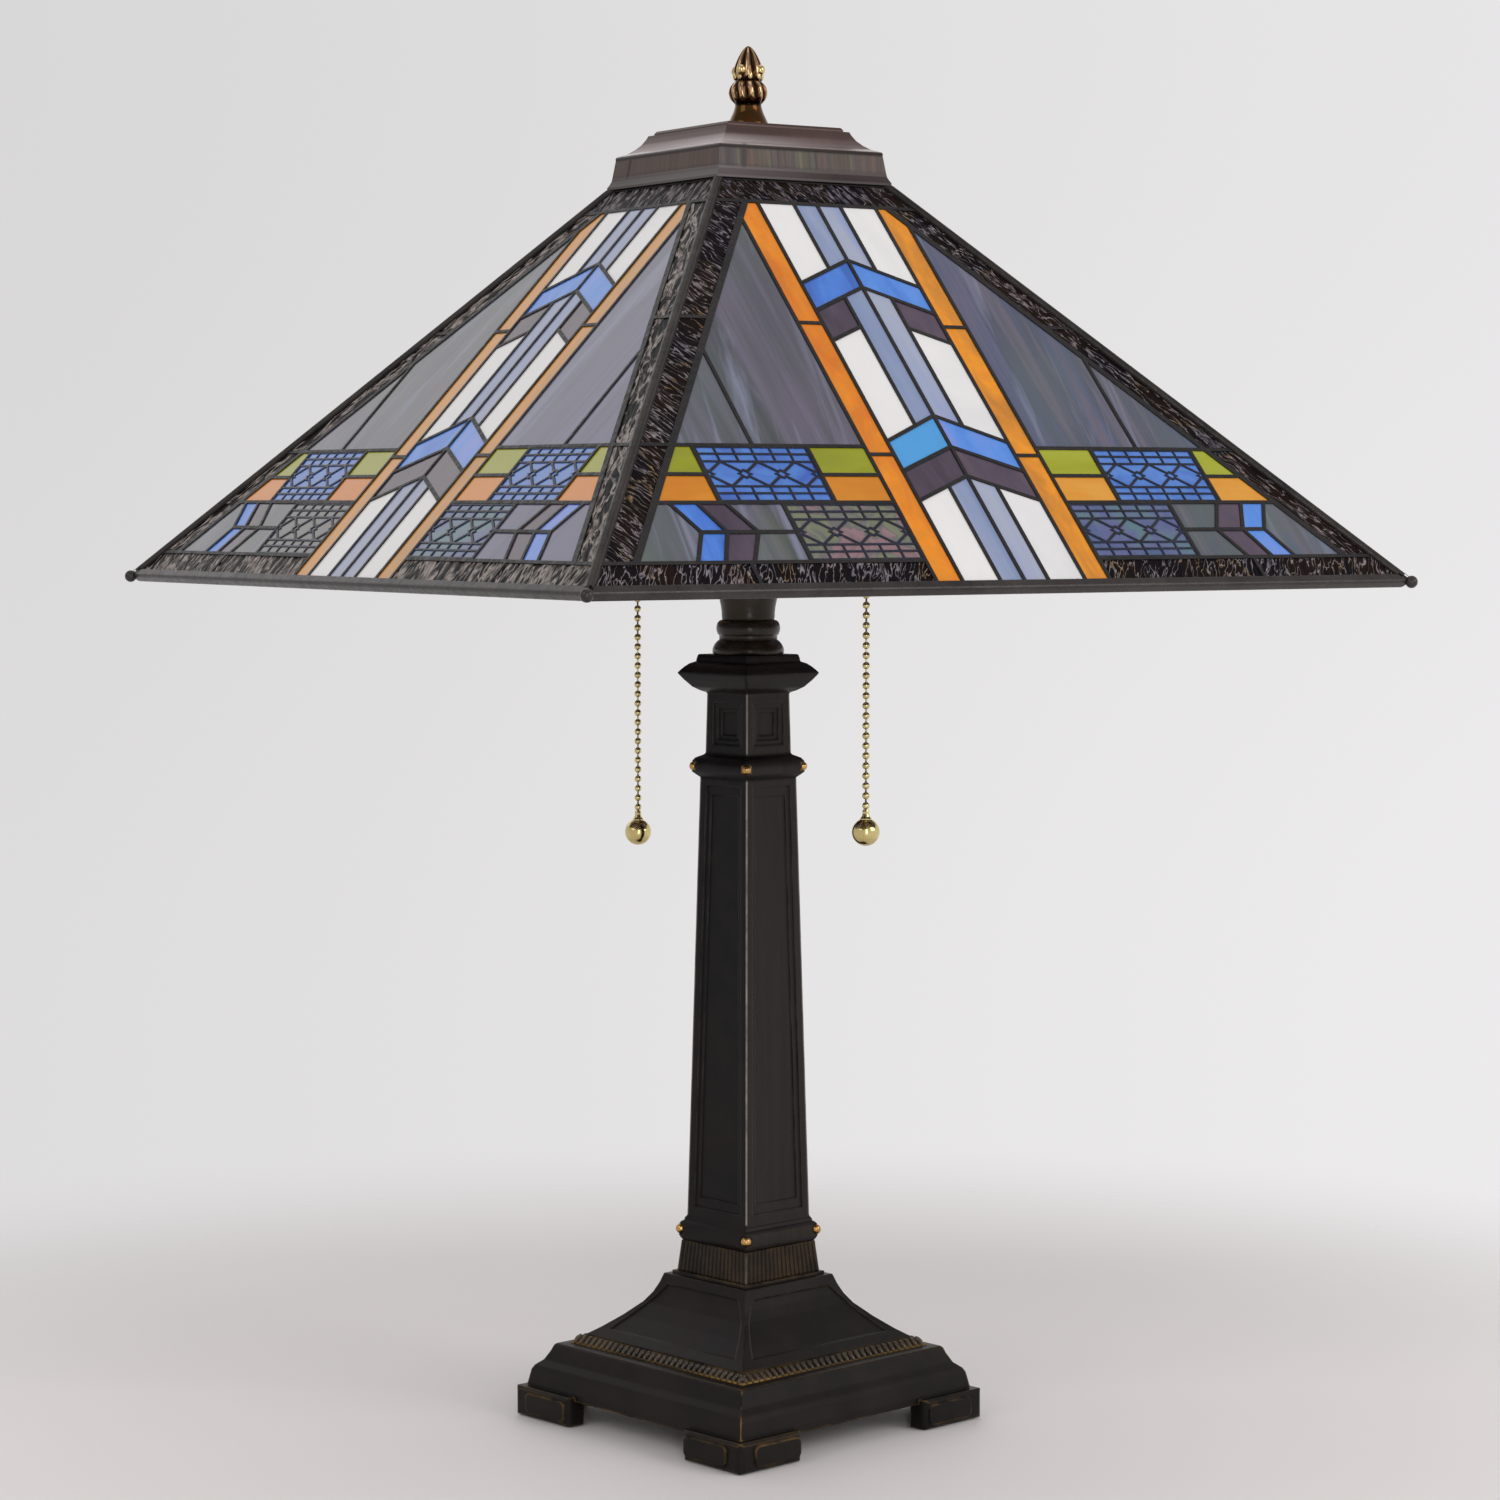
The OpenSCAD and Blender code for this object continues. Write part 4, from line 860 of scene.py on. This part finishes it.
def finial_scrolls():
    """Four balls round the bud's foot, each with two small curls beside it."""
    verts, faces = [], []
    for k in range(4):
        a = SCROLL_FIRST + k * math.pi / 2
        add_ball(verts, faces, (6.0 * math.cos(a), 6.0 * math.sin(a), PLATE_TOP + 25.6), (2.2, 2.2, 2.4))
        for off in (39, 82):
            b = a + math.radians(off)
            centre = (5.8 * math.cos(b), 5.8 * math.sin(b), PLATE_TOP + 23.2)
            add_ball(verts, faces, centre, (1.05, 1.05, 1.9))
    new_piece("finial_scrolls", verts, faces, "scroll", "finial_top", ["finial"])


# ---------------------------------------------------------------- pull chains

CHAIN_X, PIVOT_Z = 74.0, 413.6
KNOB_Z = {"right": 268.5, "left": 259.0}
BEAD_R, BEAD_PITCH, LINK_R, KNOB_R = 1.6, 4.3, 0.42, 6
# the bell connector's height, and how far above the knob's middle it sits
BELL, SEAT = 4.4, 5.4


def bead_chain(word, side):
    """Round beads on a thin wire from the guide's mouth down into the bell."""
    knob_z, x = KNOB_Z[word], side * CHAIN_X
    room = PIVOT_Z - knob_z - SEAT - BELL - BEAD_R
    count = round(room / BEAD_PITCH)
    verts, faces = [], []
    for i in range(1, count + 1):
        add_ball(verts, faces, (x, 0, PIVOT_Z - i * room / count), (BEAD_R, BEAD_R, BEAD_R), None, 18, 12)
    wire = []
    for z in (knob_z + SEAT + BELL - 0.3, PIVOT_Z - BEAD_R):
        ring = [t * math.pi / 5 for t in range(10)]
        wire.append([((x + LINK_R * math.cos(a)) * MM, LINK_R * math.sin(a) * MM, z * MM) for a in ring])
    add_grid(verts, faces, wire, 10)
    new_piece(f"beads_{word}", verts, faces, "chain", f"pull_{word}", [f"chain_{word}"])


def knob_ball(word, side):
    verts, faces = [], []
    add_ball(verts, faces, (side * CHAIN_X, 0, KNOB_Z[word]), (KNOB_R, KNOB_R, KNOB_R), None, 48, 32)
    new_piece(f"ball_{word}", verts, faces, "knob", f"pull_{word}", [f"knob_{word}"])


# ---------------------------------------------------------------- rope rail

ROPE_N, ROPE_HALF, ROPE_OUT, ROPE_Z = 31, 55.6, 54.5, 34.9
BARREL, BARREL_LEAN = (0.95, 2.9, 1.25), math.radians(35)
# the strip's section: distance of a side from the axis, and height
STRIP = [(51.5, 33.0), (56.6, 33.0), (56.4, 33.6), (54.8, 34.7), (52.8, 35.9), (51.5, 36.6)]


def rope_beads():
    """A row of leaning barrels along each side of the base."""
    verts, faces = [], []
    for k in range(4):
        spin = Matrix.Rotation(k * math.pi / 2, 3, "Z")
        lean = spin @ Matrix.Rotation(BARREL_LEAN, 3, "X")
        for i in range(ROPE_N):
            x = -ROPE_HALF + (i + 0.5) * 2 * ROPE_HALF / ROPE_N
            add_ball(verts, faces, spin @ Vector((x, -ROPE_OUT, ROPE_Z)), BARREL, lean, 12, 10)
    new_piece("rope_beads", verts, faces, "rope", "stand", ["rope_rail"])


def rope_strip():
    """The narrow square strip that the barrels lie on."""
    verts, faces = [], []
    for x, z in STRIP:
        for sx, sy in ((1, 1), (-1, 1), (-1, -1), (1, -1)):
            verts.append((sx * x * MM, sy * x * MM, z * MM))
    for i in range(len(STRIP)):
        for j in range(4):
            a, b = i * 4 + j, i * 4 + (j + 1) % 4
            lift = ((i + 1) % len(STRIP) - i) * 4
            faces.append((a, b, b + lift, a + lift))
    new_piece("rope_strip", verts, faces, "bronze", "stand", ["rope_rail"])


cast_finial()
finial_scrolls()
for word, side in (("right", 1), ("left", -1)):
    bead_chain(word, side)
    knob_ball(word, side)
rope_beads()
rope_strip()


# ---------------------------------------------------------------- floor

FLOOR_HALF = 6
# how far behind the lamp the floor's painted shade starts and ends, and how far out it fades into the room
DIM_FROM, DIM_TO = 0.05, 0.35
FADE_FROM, FADE_TO = 0.28, 0.74


def add_floor():
    n = Material("pale_floor")
    pale = n.mix(n.grey(n.noise(n.coords(), 3.0), 0.3, 0.7), lin(238, 233, 231), lin(241, 236, 234))
    # painted shade: the floor darkens a little behind the lamp
    back = n.dot(n.coords(), tuple(seen_from_camera(0, 1, 0)))
    pale = n.mix(n.grey(back, DIM_FROM, DIM_TO, 0.0, 0.36), pale, lin(170, 168, 167))
    n.set(
        Base_Color=pale,
        Roughness=0.6,
        Normal=n.bump(n.noise(n.coords(), 600.0), 0.03, 0.0002),
        Specular_IOR_Level=0.25,
    )
    away = n.node("VectorMath", {0: n.coords()}, operation="LENGTH").outputs["Value"]
    fade = n.grey(away, FADE_FROM, FADE_TO, 0.0, 1.0, "SMOOTHSTEP")
    clear = n.node("BsdfTransparent").outputs[0]
    n.put(n.out.inputs[0], n.node("MixShader", {0: fade, 1: n.bsdf.outputs[0], 2: clear}).outputs[0])
    mesh = bpy.data.meshes.new("floor")
    plan = ((-1, -1), (1, -1), (1, 1), (-1, 1))
    mesh.from_pydata([(x * FLOOR_HALF, y * FLOOR_HALF, 0) for x, y in plan], [], [(0, 1, 2, 3)])
    mesh.materials.append(n.mat)
    floor = bpy.data.objects.new("floor", mesh)
    scene.collection.objects.link(floor)


add_floor()
